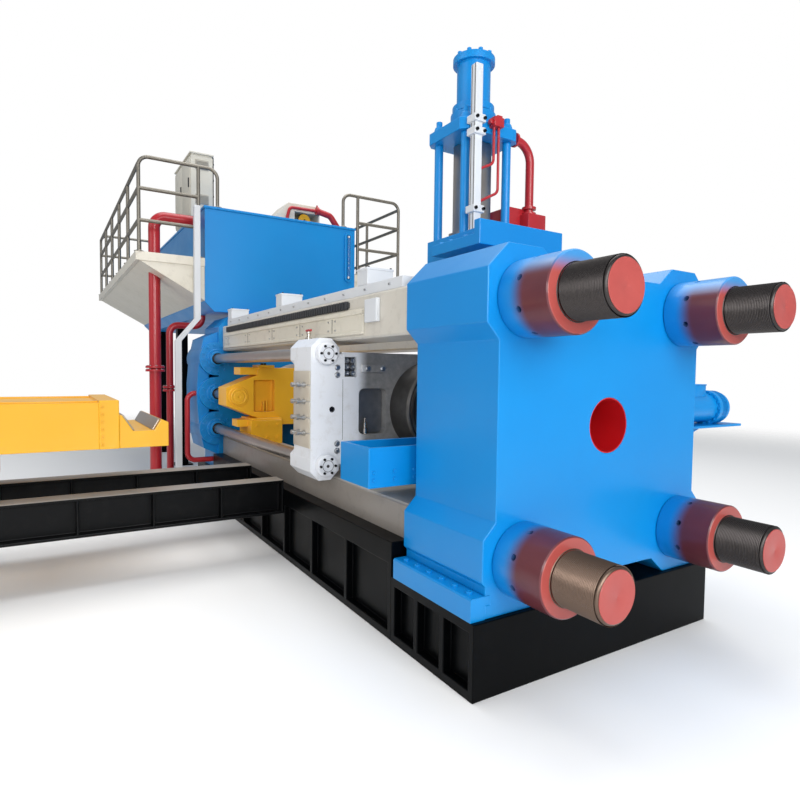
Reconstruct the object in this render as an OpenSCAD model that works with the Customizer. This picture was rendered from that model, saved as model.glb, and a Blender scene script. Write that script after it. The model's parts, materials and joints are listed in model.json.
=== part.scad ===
// Horizontal hydraulic extrusion press, in millimetres.
// X runs along the press axis with the product leaving towards +X, Y runs across, Z is up from the floor.
// The origin is on the floor, under the middle of the front platen's outer face.

/* [Press frame] */
// Height of the press axis over the floor
axis_h = 1300; // [1200:10:1400]
// Tie rod spacing, up and down
rod_pitch_z = 1300; // [1280:10:1320]
// Tie rod spacing, across
rod_pitch_y = 1286; // [1270:2:1300]
// Tie rod diameter
rod_d = 256; // [220:2:260]
// Front platen thickness along the axis
platen_t = 716; // [600:4:800]
// Front and rear platen height
platen_h = 1832; // [1800:4:1880]
// Front platen width over its rod lobes
platen_w = 1782; // [1740:2:1800]
// Front platen width at its waist
platen_waist = 1626; // [1500:2:1680]
// Distance between the platens
daylight = 4146; // [4100:2:4300]
// Rear platen thickness along the axis
rear_t = 700; // [650:10:800]
// Sleeve width round a tie rod
sleeve_w = 400; // [340:4:410]
// Sleeve height round a tie rod
sleeve_h = 292; // [280:2:300]
// Diameter of the tie rod nuts
nut_d = 384; // [340:2:400]
// Length of the tie rod nuts
nut_l = 325; // [280:5:360]
// Length of bare rod outside a front nut
rod_stub = 253; // [180:1:300]
// Diameter of the product's way out of the front platen
exit_d = 310; // [260:2:340]

/* [Base] */
// Width of the clamp bars beside the platen's feet
keeper_w = 89; // [75:1:120]
// Height of the clamp bars beside the platen's feet
keeper_h = 116; // [90:2:140]
// Width of one base girder
girder_w = 540; // [480:10:560]
// How far the base stands out in front of the platen
base_nose = 26; // [10:1:60]
// Height of the lip beside a lower sleeve
lip_h = 83; // [60:1:110]
// Depth of the panels between the base's ribs
panel_d = 50; // [30:5:70]

/* [Container] */
// Outer diameter of the container
container_d = 730; // [680:2:760]
// Diameter of the container's bore
billet_d = 190; // [184:1:220]
// Length of the container
container_l = 640; // [600:10:650]
// Thickness of the container housing along the axis
housing_t = 404; // [400:2:440]
// Gap from the front platen to the housing at rest
housing_gap = 1060; // [1050:5:1100]
// Container stroke
container_stroke = 330; // [200:10:330]
// Distance of the side cylinders from the press axis
side_y = 918; // [910:1:930]
// Height of the container's cylinders over and under the axis
side_z = 410; // [405:1:415]
// Diameter of the side cylinder rods
side_rod_d = 104; // [80:2:110]

/* [Crosshead] */
// Length of the crosshead's body
head_l = 730; // [650:10:760]
// Height of the crosshead's body
head_h = 620; // [580:4:640]
// Gap from the housing to the crosshead at rest
head_gap = 520; // [515:5:600]
// Crosshead stroke
head_stroke = 400; // [300:10:400]
// Diameter of the main ram
ram_d = 620; // [560:4:640]
// Diameter of the extrusion stem
stem_d = 178; // [140:1:178]
// Length of the extrusion stem
stem_l = 1100; // [900:10:1100]

/* [Shear] */
// Height of the shear's columns
column_h = 686; // [600:2:760]
// Diameter of the shear's columns
column_d = 62; // [50:1:70]
// Column spacing along the press
column_pitch_x = 311; // [290:1:330]
// Column spacing across the press
column_pitch_y = 372; // [340:2:400]
// Height of the shear cylinder over its plate
shear_cyl_h = 520; // [400:10:700]

/* [Oil tank] */
// Tank length
tank_l = 4800; // [4200:50:5200]
// Tank width
tank_w = 2000; // [1900:10:2100]
// Tank height
tank_h = 1220; // [1180:10:1300]
// Tank wall thickness
tank_wall = 12; // [8:1:20]
// Width of each side platform
deck_w = 760; // [700:10:820]
// Handrail height over the platforms
rail_h = 1070; // [1000:10:1150]
// Handrail tube diameter
rail_d = 42; // [34:1:50]

/* [Billet loader] */
// Length of the loader's track
track_l = 2540; // [2300:20:2800]
// Spacing of the track's two beams
track_pitch = 872; // [800:4:900]
// Height of the track beams
track_h = 286; // [240:2:300]
// Height of the loader arm
arm_h = 334; // [300:2:360]
// Width of the loader arm
arm_w = 1040; // [980:10:1080]

/* [Hidden] */
$fn = 64;

// Colours as seen on the machine
BLUE = "#1e86dc";
BLACK = "#1d1f22";
RED = "#b5443c";
STEEL = "#9a9896";
CREAM = "#d9d6cc";
WHITE = "#d6d9de";
YELLOW = "#f0ad1e";
DARK = "#5b5c5e";

// Gap left where one piece slides on another
slide_gap = 0.3;
// Gap round a threaded rod in its nut
thread_gap = 0.2;
// Gap round a tie rod in its bores
rod_gap = 3;
// Overlap of shapes that make one solid
lap = 1;

// Press frame
rod_y = rod_pitch_y / 2;
rod_z = rod_pitch_z / 2;
half_h = platen_h / 2;
x_rear = -platen_t - daylight;
x_back = x_rear - rear_t;
foot_z = axis_h - half_h;
sleeve_top = rod_z + sleeve_h / 2;
sleeve_low = rod_z - sleeve_h / 2;
sleeve_out = rod_y + sleeve_w / 2;

// Front platen outline, measured from its middle
lobe_in = 534;
lobe_z = 526;
waist_z = 445;
lobe_cut = 127;
valley_w = 840;
valley_d = 96;
foot_step = 20;
foot_h = 160;

// Groove in the platen's feet that takes the tongue of a clamp bar
groove_d = 30;
tongue_t = 46;

// Base, with its sides flush with the clamp bars
base_w = platen_w - 2 * foot_step + 2 * keeper_w;
base_gap = 24;
base_tail = 100;
flange_t = 50;
rib_t = 40;

// Rear platen
boss_r = 195;
wing_h = 1120;
wing_out = 80;
wing_step = 60;
ring_t = 60;
ring_d = 230;
lid_t = 80;
guide_l = 200;

// Die slide
die_t = 464;
die_top = -160;
die_low = -400;
die_reach = 1080;
die_set = 90;
die_d = 500;
die_hole = exit_d - 60;
die_wall = 30;

// Container, which stops short of the die by the seal's gap, and its housing
seal_gap = 10;
x_housing = -platen_t - housing_gap;
housing_back = x_housing - housing_t;
container_face = -platen_t - die_t - container_stroke - seal_gap;
body_h = 850;
arm_in = 780;
arm_out = 1030;
lobe_r = 122;
cap_t = 60;
cap_d = 162;
window_in = 400;
window_w = 240;
window_low = -196;
window_top = 153;
window_d = 90;
window_edge = 20;
plate_t = 20;
foot_w = 170;
web_set = 80;

// Crosshead
x_head = housing_back - head_gap;
head_back = x_head - head_l;
ear_t = 100;
ear_tip = x_rear + ring_t + 24;
ear_tip_h = 150;
ear_root_h = 468;
pin_set = 520;
pin_x = head_back - pin_set;
pin_d = 170;
pin_out = 20;

// Shear
shear_set = 543;
shear_rise = 327;
shear_x = -platen_t - shear_set;
shear_z = axis_h + half_h + shear_rise;
shear_hang = 276;
shear_wide = 726;
shear_body_w = 460;
shear_end = 70;
shear_step = 84;
shear_flange_t = 73;
shear_wall_t = 57;
shear_plate_t = 82;
plate_edge = 70;
shear_rod_d = 120;

// Oil tank
tank_set = 200;
saddle_h = 64;
x_tank = x_rear - tank_set;
tank_low = half_h + saddle_h;
tank_cut = 110;
tank_top = tank_low + tank_h;
roof_t = 30;
roof_lap = 10;
roof_z = axis_h + tank_top + roof_t;
deck_rise = 630;
deck_z = axis_h + tank_low + deck_rise;
deck_t = 100;
deck_plate = 10;
bays = 5;
rail_y = tank_w / 2 + deck_w - rail_d;
rail_bend = 110;

// Pipes beside the tank
pipe_set = 340;
pipe_out = 510;
pipe_x = x_tank - pipe_set;
pipe_y = -tank_w / 2 - pipe_out;
pipe_d = 133;
pipe_gap = 10;

// Loader
track_set = 1888;
track_drop = 637;
arm_drop = 298;
arm_gap = 1250;
track_y = base_w / 2;
track_x = -platen_t - track_set - track_pitch / 2;
track_z = axis_h - track_drop;
arm_low = axis_h - arm_drop;
arm_end = -track_y - arm_gap;
arm_tail = 20;
nose_l = 340;

// Shapes that repeat

// A box given by its lowest and highest corners
module span(low, high) {
    translate(low) cube(high - low);
}

// A solid of one outline across the press, run along X from x0 to x1
module along_x(x0, x1) {
    translate([x0, 0, axis_h]) rotate([90, 0, 90]) linear_extrude(x1 - x0) children();
}

// A solid of one outline seen from the side, run across the press from y0 to y1
module along_y(y0, y1) {
    translate([0, y1, axis_h]) rotate([90, 0, 0]) linear_extrude(y1 - y0) children();
}

// A cylinder along X from x0 to x1, at y and z measured from the press axis
module bar_x(x0, x1, y, z, d) {
    translate([x0, y, axis_h + z]) rotate([0, 90, 0]) cylinder(h = x1 - x0, d = d);
}

// A half outline of radius and length, turned round an axis along X that starts at x0
module turned_x(x0, y, z) {
    translate([x0, y, axis_h + z]) rotate([0, 90, 0]) rotate_extrude() children();
}

// Half outline of a bar or ring with broken edges
module turned_outline(r_in, r_out, length, edge) {
    polygon([[r_in, 0], [r_out - edge, 0], [r_out, edge], [r_out, length - edge], [r_out - edge, length],
        [r_in, length]]);
}

// Copies at the four tie rods
module at_rods() {
    for (y = [-rod_y, rod_y], z = [-rod_z, rod_z]) translate([0, y, z]) children();
}

// Copies on the left and the right side
module both_sides() {
    children();
    mirror([0, 1, 0]) children();
}

// A half outline and its mirror image
function mirrored(half) = concat(half, [for (i = [len(half) - 1:-1:0]) [-half[i][0], half[i][1]]]);

// A tube between two points
module tube(a, b, d) {
    v = b - a;
    translate(a) rotate([0, acos(v[2] / norm(v)), atan2(v[1], v[0])]) cylinder(h = norm(v), d = d);
}

// A quarter bend of tube that comes up along Z and leaves along +X, with its first end at the origin
module bend(r, d) {
    translate([r, 0, 0]) mirror([1, 0, 0]) rotate([90, 0, 0])
        rotate_extrude(angle = 90) translate([r, 0]) circle(d = d);
}

// Base

// A welded box with ribs and sunken panels on its two long sides
module ribbed_box(x0, x1, y0, y1, top, ribs) {
    span([x0, y0, 0], [x1, y1 - panel_d, top]);
    span([x0, y0, 0], [x1, y1, flange_t]);
    span([x0, y0, top - flange_t], [x1, y1, top]);
    for (i = [0:ribs]) {
        x = x0 + (x1 - x0 - rib_t) * i / ribs;
        span([x, y0, 0], [x + rib_t, y1, top]);
    }
}

module base_front() {
    color(BLACK) both_sides() ribbed_box(-platen_t - base_gap, base_nose, 0, base_w / 2, foot_z, 3);
}

module base_rear() {
    color(BLACK) both_sides() ribbed_box(x_back - base_tail, x_rear, 0, base_w / 2, foot_z, 3);
}

// One long girder with a lip that holds the lower sleeve sideways
module girder() {
    top = axis_h - sleeve_top;
    lip_in = sleeve_out + slide_gap;
    ribbed_box(x_rear, -platen_t - base_gap, base_w / 2 - girder_w, base_w / 2, top, 7);
    span([x_rear, lip_in, top - lap], [-platen_t - base_gap, base_w / 2, top + lip_h]);
}

module base_girders() {
    color(BLACK) both_sides() girder();
}

module base_cross_beams() {
    beam_w = 200;
    beam_h = 300;
    reach = base_w / 2 - girder_w;
    color(BLACK) for (share = [0.2, 0.5, 0.8])
        span([-platen_t - daylight * share - beam_w / 2, -reach, 0],
             [-platen_t - daylight * share + beam_w / 2, reach, beam_h]);
}

// Platens, rods and sleeves

module platen_outline() {
    lobe = platen_w / 2;
    waist = platen_waist / 2;
    foot = lobe - foot_step;
    groove_top = keeper_h - half_h;
    groove_low = groove_top - tongue_t;
    polygon(mirrored([[valley_w / 2, valley_d - half_h], [lobe_in, -half_h], [foot, -half_h],
        [foot, groove_low], [foot - groove_d, groove_low], [foot - groove_d, groove_top], [foot, groove_top],
        [foot, foot_h - half_h], [lobe, foot_h + foot_step - half_h], [lobe, -lobe_z],
        [waist, -waist_z], [waist, waist_z], [lobe, lobe_z], [lobe, half_h - lobe_cut],
        [lobe - lobe_cut, half_h], [lobe_in, half_h], [valley_w / 2, half_h - valley_d]]));
}

module rod_bores(x0, x1) {
    for (y = [-rod_y, rod_y], z = [-rod_z, rod_z])
        bar_x(x0 - lap, x1 + lap, y, z, rod_d + 2 * rod_gap);
}

module front_platen() {
    color(BLUE) difference() {
        along_x(-platen_t, 0) platen_outline();
        rod_bores(-platen_t, 0);
        bar_x(-platen_t - lap, lap, 0, 0, exit_d);
    }
}

// Bars that hold the platen's feet on the base, each with a tongue in the foot's groove
module platen_keepers() {
    inner = platen_w / 2 - foot_step;
    edge = 8;
    tongue = slide_gap - groove_d;
    tongue_top = keeper_h - slide_gap;
    tongue_low = keeper_h - tongue_t + slide_gap;
    color(BLUE) both_sides() along_x(-platen_t, 0) translate([inner, -half_h])
        polygon([[0, 0], [keeper_w, 0], [keeper_w, keeper_h - edge], [keeper_w - edge, keeper_h],
            [0, keeper_h], [0, tongue_top], [tongue, tongue_top], [tongue, tongue_low], [0, tongue_low]]);
}

// The rear platen carries the six side cylinders in round bosses, joined by thinner webs
module rear_platen() {
    lobe = platen_w / 2;
    color(BLUE) difference() {
        union() {
            along_x(x_back, x_rear) polygon(mirrored([[lobe, -half_h], [lobe, half_h - lobe_cut],
                [lobe - lobe_cut, half_h]]));
            both_sides() {
                span([x_back + wing_step, lobe - lap, axis_h - wing_h / 2],
                     [x_rear - wing_step, side_y + wing_out, axis_h + wing_h / 2]);
                for (z = [-side_z, 0, side_z]) bar_x(x_back, x_rear, side_y, z, 2 * boss_r);
            }
        }
        rod_bores(x_back, x_rear);
        bar_x(x_back - lap, x_rear + lap, 0, 0, ram_d + 2 * slide_gap);
        for (y = [-side_y, side_y], z = [-side_z, 0, side_z])
            bar_x(x_back - lap, x_rear + lap, y, z, side_rod_d + 2 * slide_gap);
    }
}

module tie_rods() {
    length = x_back - nut_l - rod_stub;
    edge = 10;
    color(RED) for (y = [-rod_y, rod_y], z = [-rod_z, rod_z])
        turned_x(length, y, z) turned_outline(0, rod_d / 2, nut_l + rod_stub - length, edge);
}

// A round nut with holes for a turning bar
module nut(x0) {
    holes = 8;
    hole_d = 32;
    hole_depth = 45;
    hole_share = 0.42;
    edge = 8;
    difference() {
        turned_x(x0, 0, 0) turned_outline(rod_d / 2 + thread_gap, nut_d / 2, nut_l, edge);
        for (i = [0:holes - 1]) translate([x0 + nut_l * hole_share, 0, axis_h])
            rotate([360 * (i + 0.5) / holes, 0, 0]) translate([0, 0, nut_d / 2 - hole_depth])
                cylinder(h = nut_d, d = hole_d);
    }
}

module front_nuts() {
    color(RED) at_rods() nut(0);
}

module rear_nuts() {
    color(RED) at_rods() nut(x_back - nut_l);
}

// The rectangular spacer round one tie rod
module sleeve(z) {
    edge = 14;
    half_w = sleeve_w / 2;
    tall = sleeve_h / 2;
    difference() {
        along_x(x_rear, -platen_t) translate([rod_y, z])
            polygon([[-half_w, edge - tall], [edge - half_w, -tall], [half_w - edge, -tall],
                [half_w, edge - tall], [half_w, tall - edge], [half_w - edge, tall],
                [edge - half_w, tall], [-half_w, tall - edge]]);
        bar_x(x_rear - lap, -platen_t + lap, rod_y, z, rod_d + 2 * rod_gap);
    }
}

module upper_sleeves() {
    color(CREAM) both_sides() sleeve(rod_z);
}

module lower_sleeves() {
    color(CREAM) both_sides() sleeve(-rod_z);
}

// Cover strip along the near upper sleeve, with a measuring rail near its top and a ledge at its foot
module sleeve_cover() {
    rear_set = 120;
    front_set = 600;
    x0 = x_rear + rear_set;
    x1 = -platen_t - front_set;
    cover_t = 12;
    cover_set = 29;
    cover_h = 175;
    rail_t = 26;
    rail_w = 30;
    rail_set = 10;
    ledge_h = 22;
    ledge_t = 20;
    low = axis_h + sleeve_low + cover_set;
    top = low + cover_h;
    color(CREAM) {
        span([x0, -sleeve_out - cover_t, low], [x1, -sleeve_out, top]);
        span([x0, -sleeve_out - rail_t, top - rail_set - rail_w],
             [x1, -sleeve_out - cover_t + lap, top - rail_set]);
        span([x0, -sleeve_out - ledge_t, low], [x1, -sleeve_out - cover_t + lap, low + ledge_h]);
    }
}

// Cylinders behind the rear platen

module main_cylinder() {
    body_r = 470;
    collar_r = 510;
    collar_t = 120;
    tail = 900;
    length = head_stroke + tail;
    end_t = 150;
    step = 60;
    bore_r = ram_d / 2 + 10;
    color(BLUE) turned_x(x_back - length, 0, 0) polygon([[0, 0], [body_r - step, 0], [body_r, step],
        [body_r, length - collar_t], [collar_r, length - collar_t], [collar_r, length],
        [bore_r, length], [bore_r, end_t], [0, end_t]]);
}

module gland_rings() {
    edge = 12;
    color(BLUE) for (y = [-side_y, side_y], z = [-side_z, 0, side_z])
        turned_x(x_rear, y, z) turned_outline(side_rod_d / 2 + slide_gap, ring_d / 2, ring_t, edge);
}

module cylinder_caps() {
    edge = 10;
    color(BLUE) for (y = [-side_y, side_y], z = [-side_z, 0, side_z])
        turned_x(x_back - lid_t, y, z) turned_outline(0, ring_d / 2, lid_t, edge);
}

// Container

// Side arm with eight-sided lobes round the ends of the container's rods, joined by a thinner web
module housing_arm() {
    span([housing_back + web_set, arm_in - lap, axis_h - side_z], [x_housing, arm_out, axis_h + side_z]);
    for (z = [-side_z, side_z]) translate([housing_back, side_y, axis_h + z]) rotate([0, 90, 0])
        rotate([0, 0, 22.5]) cylinder(h = housing_t, r = lobe_r, $fn = 8);
}

// One window beside the container, with round corners
module housing_window(depth, inset) {
    r = 40;
    translate([x_housing - depth, 0, 0]) rotate([90, 0, 90]) linear_extrude(depth + lap)
        translate([window_in + inset, axis_h + window_low + inset]) union() {
            wide = window_w - 2 * inset;
            tall = window_top - window_low - 2 * inset;
            translate([r, 0]) square([wide - 2 * r, tall]);
            translate([0, r]) square([wide, tall - 2 * r]);
            for (y = [r, wide - r], z = [r, tall - r]) translate([y, z]) circle(r = r);
        }
}

module container_housing() {
    ledge_t = 30;
    ledge_z = 278;
    ledge_h = 55;
    pocket_d = 45;
    pocket_low = 240;
    pocket_h = 150;
    color(WHITE) difference() {
        union() {
            along_x(housing_back, x_housing) square([2 * arm_in, body_h], center = true);
            both_sides() {
                housing_arm();
                span([x_housing - lap, window_in + window_edge, axis_h + ledge_z],
                     [x_housing + ledge_t, window_in + window_w - window_edge, axis_h + ledge_z + ledge_h]);
                span([housing_back, rod_y - foot_w, axis_h - sleeve_low + slide_gap],
                     [x_housing, rod_y, axis_h - body_h / 2 + lap]);
            }
        }
        bar_x(housing_back - lap, x_housing + ledge_t + lap, 0, 0, container_d + 2 * slide_gap);
        both_sides() {
            housing_window(window_d, 0);
            for (z = [pocket_low, -pocket_low - pocket_h])
                span([x_housing - pocket_d, window_in + window_w + window_edge, axis_h + z],
                     [x_housing + lap, arm_in - window_edge, axis_h + z + pocket_h]);
        }
    }
}

// Steel plates at the bottom of the windows
module holder_plates() {
    color(DARK) both_sides() intersection() {
        housing_window(window_d, slide_gap);
        span([x_housing - window_d, window_in, axis_h + window_low],
             [x_housing - window_d + plate_t, window_in + window_w, axis_h + window_top]);
    }
}

module container() {
    edge = 16;
    color(DARK) turned_x(container_face - container_l, 0, 0)
        turned_outline(billet_d / 2, container_d / 2, container_l, edge);
}

module container_rods() {
    color(STEEL) for (y = [-side_y, side_y], z = [-side_z, side_z])
        bar_x(x_rear - container_stroke - guide_l, housing_back, y, z, side_rod_d);
}

module rod_caps() {
    edge = 8;
    color(WHITE) for (y = [-side_y, side_y], z = [-side_z, side_z])
        turned_x(x_housing, y, z) turned_outline(0, cap_d / 2, cap_t, edge);
}

// Crosshead

// One tapered ear that carries the end of a side rod
module ear() {
    along_y(side_y - ear_t / 2, side_y + ear_t / 2)
        polygon([[head_back + lap, -ear_root_h / 2], [ear_tip, -ear_tip_h / 2],
                 [ear_tip, ear_tip_h / 2], [head_back + lap, ear_root_h / 2]]);
    translate([pin_x, side_y - ear_t / 2 - pin_out, axis_h]) rotate([-90, 0, 0])
        cylinder(h = ear_t + 2 * pin_out, d = pin_d);
}

module crosshead() {
    edge = 60;
    pocket_d = 60;
    pocket_low = 155;
    pocket_top = 186;
    shoe_in = 680;
    shoe_out = 860;
    shoe_h = 50;
    half = head_h / 2;
    outer = side_y + ear_t / 2;
    color(YELLOW) difference() {
        union() {
            along_y(-outer, outer)
                polygon([[head_back, edge - half], [head_back + edge, -half], [x_head, -half], [x_head, half],
                    [head_back + edge, half], [head_back, half - edge]]);
            both_sides() {
                ear();
                span([head_back, rod_y - foot_w, axis_h - sleeve_low + slide_gap],
                     [x_head, rod_y, axis_h - half + lap]);
                for (z = [half - lap, -half - shoe_h])
                    span([head_back + 2 * edge, shoe_in, axis_h + z],
                         [x_head - edge, shoe_out, axis_h + z + shoe_h + lap]);
            }
        }
        both_sides() span([head_back + 2 * edge, outer - pocket_d, axis_h - pocket_low],
                          [x_head - 2 * edge, outer + lap, axis_h + pocket_top]);
    }
}

module crosshead_rods() {
    color(STEEL) for (y = [-side_y, side_y])
        bar_x(x_rear - head_stroke - guide_l, ear_tip, y, 0, side_rod_d);
}

module main_ram() {
    color(STEEL) bar_x(x_back - head_stroke, head_back, 0, 0, ram_d);
}

// Stem with a flange that bolts to the crosshead
module extrusion_stem() {
    collar_t = 50;
    collar_r = 165;
    root_r = 118;
    root_t = 80;
    edge = 6;
    r = stem_d / 2;
    color(STEEL) turned_x(x_head, 0, 0) polygon([[0, 0], [collar_r, 0], [collar_r, collar_t],
        [root_r, collar_t], [r, root_t], [r, stem_l - edge], [r - edge, stem_l], [0, stem_l]]);
}

// Die slide

// Cross slide with a round cradle in its middle and an open tray at each end
module die_slide() {
    x0 = -platen_t - die_t;
    tray_in = 440;
    tray_from = 740;
    color(BLUE) difference() {
        union() {
            span([x0, -tray_from, axis_h + die_low], [-platen_t, tray_from, axis_h + die_top]);
            span([x0, -die_reach, axis_h + die_low], [-platen_t - die_set, die_reach, axis_h + die_top]);
        }
        bar_x(x0 - lap, -platen_t + lap, 0, 0, die_d + 2 * slide_gap);
        both_sides() span([x0 + die_wall, tray_in, axis_h + die_low + die_wall],
                          [-platen_t - die_set - die_wall, die_reach - die_wall, axis_h + die_top + lap]);
    }
}

// Die, backer and bolster in one round stack, with a groove at each seam
module die_stack() {
    r = die_d / 2;
    groove = 8;
    seam = 14;
    color(DARK) turned_x(-platen_t - die_t, 0, 0) difference() {
        translate([die_hole / 2, 0]) square([r - die_hole / 2, die_t]);
        for (share = [0.3, 0.62]) translate([r - groove, die_t * share]) square([groove + lap, seam]);
    }
}

// Motor of the die slide on a foot plate at the platen's far side, with a bolted flange near its end
module die_motor() {
    waist = platen_waist / 2;
    motor_z = 45;
    gear_r = 104;
    gear_l = 700;
    flange_r = 128;
    flange_t = 40;
    body_r = 118;
    body_l = 130;
    edge = 30;
    plate_w = 260;
    plate_l = 980;
    plate_t = 18;
    rib_h = 220;
    rib_l = 700;
    front = gear_l + flange_t;
    low = motor_z - flange_r - plate_t / 2;
    color(BLUE) {
        translate([-platen_t / 2, waist, axis_h + motor_z]) rotate([-90, 0, 0]) rotate_extrude()
            polygon([[0, 0], [gear_r, 0], [gear_r, gear_l], [flange_r, gear_l], [flange_r, front],
                [body_r, front], [body_r, front + body_l - edge], [body_r - edge, front + body_l],
                [0, front + body_l]]);
        span([-platen_t / 2 - plate_w / 2, waist, axis_h + low],
             [-platen_t / 2 + plate_w / 2, waist + plate_l, axis_h + low + plate_t]);
        along_x(-platen_t / 2 - plate_t / 2, -platen_t / 2 + plate_t / 2)
            polygon([[waist, low + lap], [waist + rib_l, low + lap], [waist, low - rib_h]]);
    }
}

// Shear

// Bracket on the back of the platen: a body under the columns, a wider flange and a wall across its front
module shear_base() {
    x0 = shear_x - column_pitch_x / 2 - shear_end;
    top = shear_z - axis_h;
    foot = half_h - shear_hang;
    tail_h = 260;
    foot_l = 320;
    flange_z = shear_z - shear_step;
    flange_l = 520;
    color(BLUE) {
        along_y(-shear_body_w / 2, shear_body_w / 2) polygon([[-platen_t, foot], [-platen_t, top], [x0, top],
            [x0, top - tail_h], [-platen_t - foot_l, foot]]);
        span([-platen_t - flange_l, -shear_wide / 2, flange_z - shear_flange_t],
             [-platen_t, shear_wide / 2, flange_z]);
        span([-platen_t - shear_wall_t, -shear_wide / 2, flange_z - lap],
             [-platen_t, shear_wide / 2, shear_z]);
    }
}

module at_columns() {
    for (x = [-1, 1], y = [-1, 1])
        translate([shear_x + x * column_pitch_x / 2, y * column_pitch_y / 2, 0]) children();
}

// Columns under the top plate, with a tapered nut and a stud over each
module shear_columns() {
    nut_r = 46;
    nut_tip = 30;
    nut_h = 50;
    stud_r = 22;
    stud_h = 40;
    color(BLUE) at_columns() {
        translate([0, 0, shear_z]) cylinder(h = column_h, d = column_d);
        translate([0, 0, shear_z + column_h + shear_plate_t]) rotate_extrude()
            polygon([[0, 0], [nut_r, 0], [nut_tip, nut_h], [stud_r, nut_h], [stud_r, nut_h + stud_h],
                [0, nut_h + stud_h]]);
    }
}

module shear_plate() {
    half_x = column_pitch_x / 2 + plate_edge;
    half_y = column_pitch_y / 2 + plate_edge;
    cut = 45;
    color(BLUE) translate([shear_x, 0, shear_z + column_h]) linear_extrude(shear_plate_t)
        polygon(mirrored([[half_x - cut, -half_y], [half_x, cut - half_y], [half_x, half_y - cut],
            [half_x - cut, half_y]]));
}

// Cylinder with a stack of two collars at its foot and one at its head
module shear_cylinder() {
    collar_r = 150;
    foot_r = 162;
    foot_t = 120;
    collar_t = 50;
    groove = 8;
    body_r = 120;
    first = foot_t + groove;
    second = first + collar_t;
    neck = shear_cyl_h - collar_t;
    color(BLUE) translate([shear_x, 0, shear_z + column_h + shear_plate_t]) rotate_extrude()
        polygon([[0, 0], [foot_r, 0], [foot_r, foot_t], [body_r, foot_t], [body_r, first], [collar_r, first],
            [collar_r, second], [body_r, second], [body_r, neck], [collar_r, neck], [collar_r, shear_cyl_h],
            [0, shear_cyl_h]]);
}

module shear_rod() {
    nut_r = 90;
    nut_t = 110;
    color(STEEL) translate([shear_x, 0, shear_z]) {
        cylinder(h = column_h, d = shear_rod_d);
        cylinder(h = nut_t, r = nut_r);
    }
}

// Measuring rail beside the columns: a square profile in three clamps, the upper ones at the top plate
module shear_gauge() {
    gauge_w = 58;
    clamp_w = 92;
    clamp_h = 48;
    clamp_set = 20;
    clamp_gap = 83;
    foot_h = 112;
    rise = 320;
    gauge_h = column_h + shear_plate_t + rise;
    x = shear_x + column_pitch_x / 2 + plate_edge + clamp_w / 2 + slide_gap;
    color(WHITE) translate([x, -column_pitch_y / 2, shear_z]) {
        translate([-gauge_w / 2, -gauge_w / 2, 0]) cube([gauge_w, gauge_w, gauge_h]);
        for (z = [column_h + clamp_set, column_h + clamp_set - clamp_gap, foot_h])
            translate([-clamp_w / 2, -clamp_w / 2, z]) cube([clamp_w, clamp_w, clamp_h]);
    }
}

// Oil tank

module tank_outline(inset) {
    half = tank_w / 2 - inset;
    polygon(mirrored([[half - tank_cut, tank_low + inset], [half, tank_low + tank_cut + inset],
        [half, tank_top]]));
}

module tank_saddle() {
    saddle_half = 600;
    color(BLUE) span([x_back, -saddle_half, axis_h + half_h], [x_tank, saddle_half, axis_h + tank_low]);
}

module tank_shell() {
    color(BLUE) difference() {
        along_x(x_tank - tank_l, x_tank) tank_outline(0);
        along_x(x_tank - tank_l + tank_wall, x_tank - tank_wall) translate([0, lap]) tank_outline(tank_wall);
    }
}

module tank_roof() {
    color(BLUE) span([x_tank - tank_l - roof_lap, -tank_w / 2 - roof_lap, roof_z - roof_t],
                     [x_tank + roof_lap, tank_w / 2 + roof_lap, roof_z]);
}

module tank_stand() {
    leg = 160;
    leg_set = 300;
    leg_y = tank_w / 2 - leg_set;
    leg_run = 2880;
    top = axis_h + tank_low;
    shoe = 280;
    shoe_t = 25;
    color(BLACK) for (x = [x_tank - tank_l + shoe / 2, x_tank - leg_run], y = [-leg_y, leg_y]) {
        span([x - leg / 2, y - leg / 2, 0], [x + leg / 2, y + leg / 2, top]);
        for (z = [0, top - shoe_t])
            span([x - shoe / 2, y - shoe / 2, z], [x + shoe / 2, y + shoe / 2, z + shoe_t]);
    }
}

// An upright slot with round ends, in the tank's front plane
module upright_slot(width, height) {
    square([width, height - width], center = true);
    for (z = [-1, 1]) translate([0, z * (height - width) / 2]) circle(d = width);
}

module level_gauge() {
    gauge_w = 110;
    gauge_h = 660;
    gauge_t = 26;
    border = 28;
    gauge_set = 105;
    gauge_rise = 842;
    gauge_y = tank_w / 2 - gauge_set;
    gauge_z = tank_low + gauge_rise;
    color(BLUE) difference() {
        along_x(x_tank, x_tank + gauge_t) translate([gauge_y, gauge_z]) upright_slot(gauge_w, gauge_h);
        along_x(x_tank + gauge_t / 2, x_tank + gauge_t + lap) translate([gauge_y, gauge_z])
            upright_slot(gauge_w - 2 * border, gauge_h - 2 * border);
    }
}

// Platform of plate on an edge frame, held by gussets on the tank's side
module deck() {
    y0 = tank_w / 2;
    y1 = y0 + deck_w;
    x0 = x_tank - tank_l;
    edge = 50;
    gusset_h = 400;
    gusset_t = 20;
    low = deck_z - deck_t;
    span([x0, y0, deck_z - deck_plate], [x_tank, y1, deck_z]);
    for (y = [y0, y1 - edge]) span([x0, y, low], [x_tank, y + edge, deck_z]);
    for (i = [0:bays]) {
        x = x0 + (tank_l - edge) * i / bays;
        span([x, y0, low], [x + edge, y1, deck_z]);
        translate([x + edge / 2 - gusset_t / 2, 0, low]) rotate([90, 0, 90]) linear_extrude(gusset_t)
            polygon([[y0, -gusset_h], [y1 - edge, lap], [y0, lap]]);
    }
}

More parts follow.
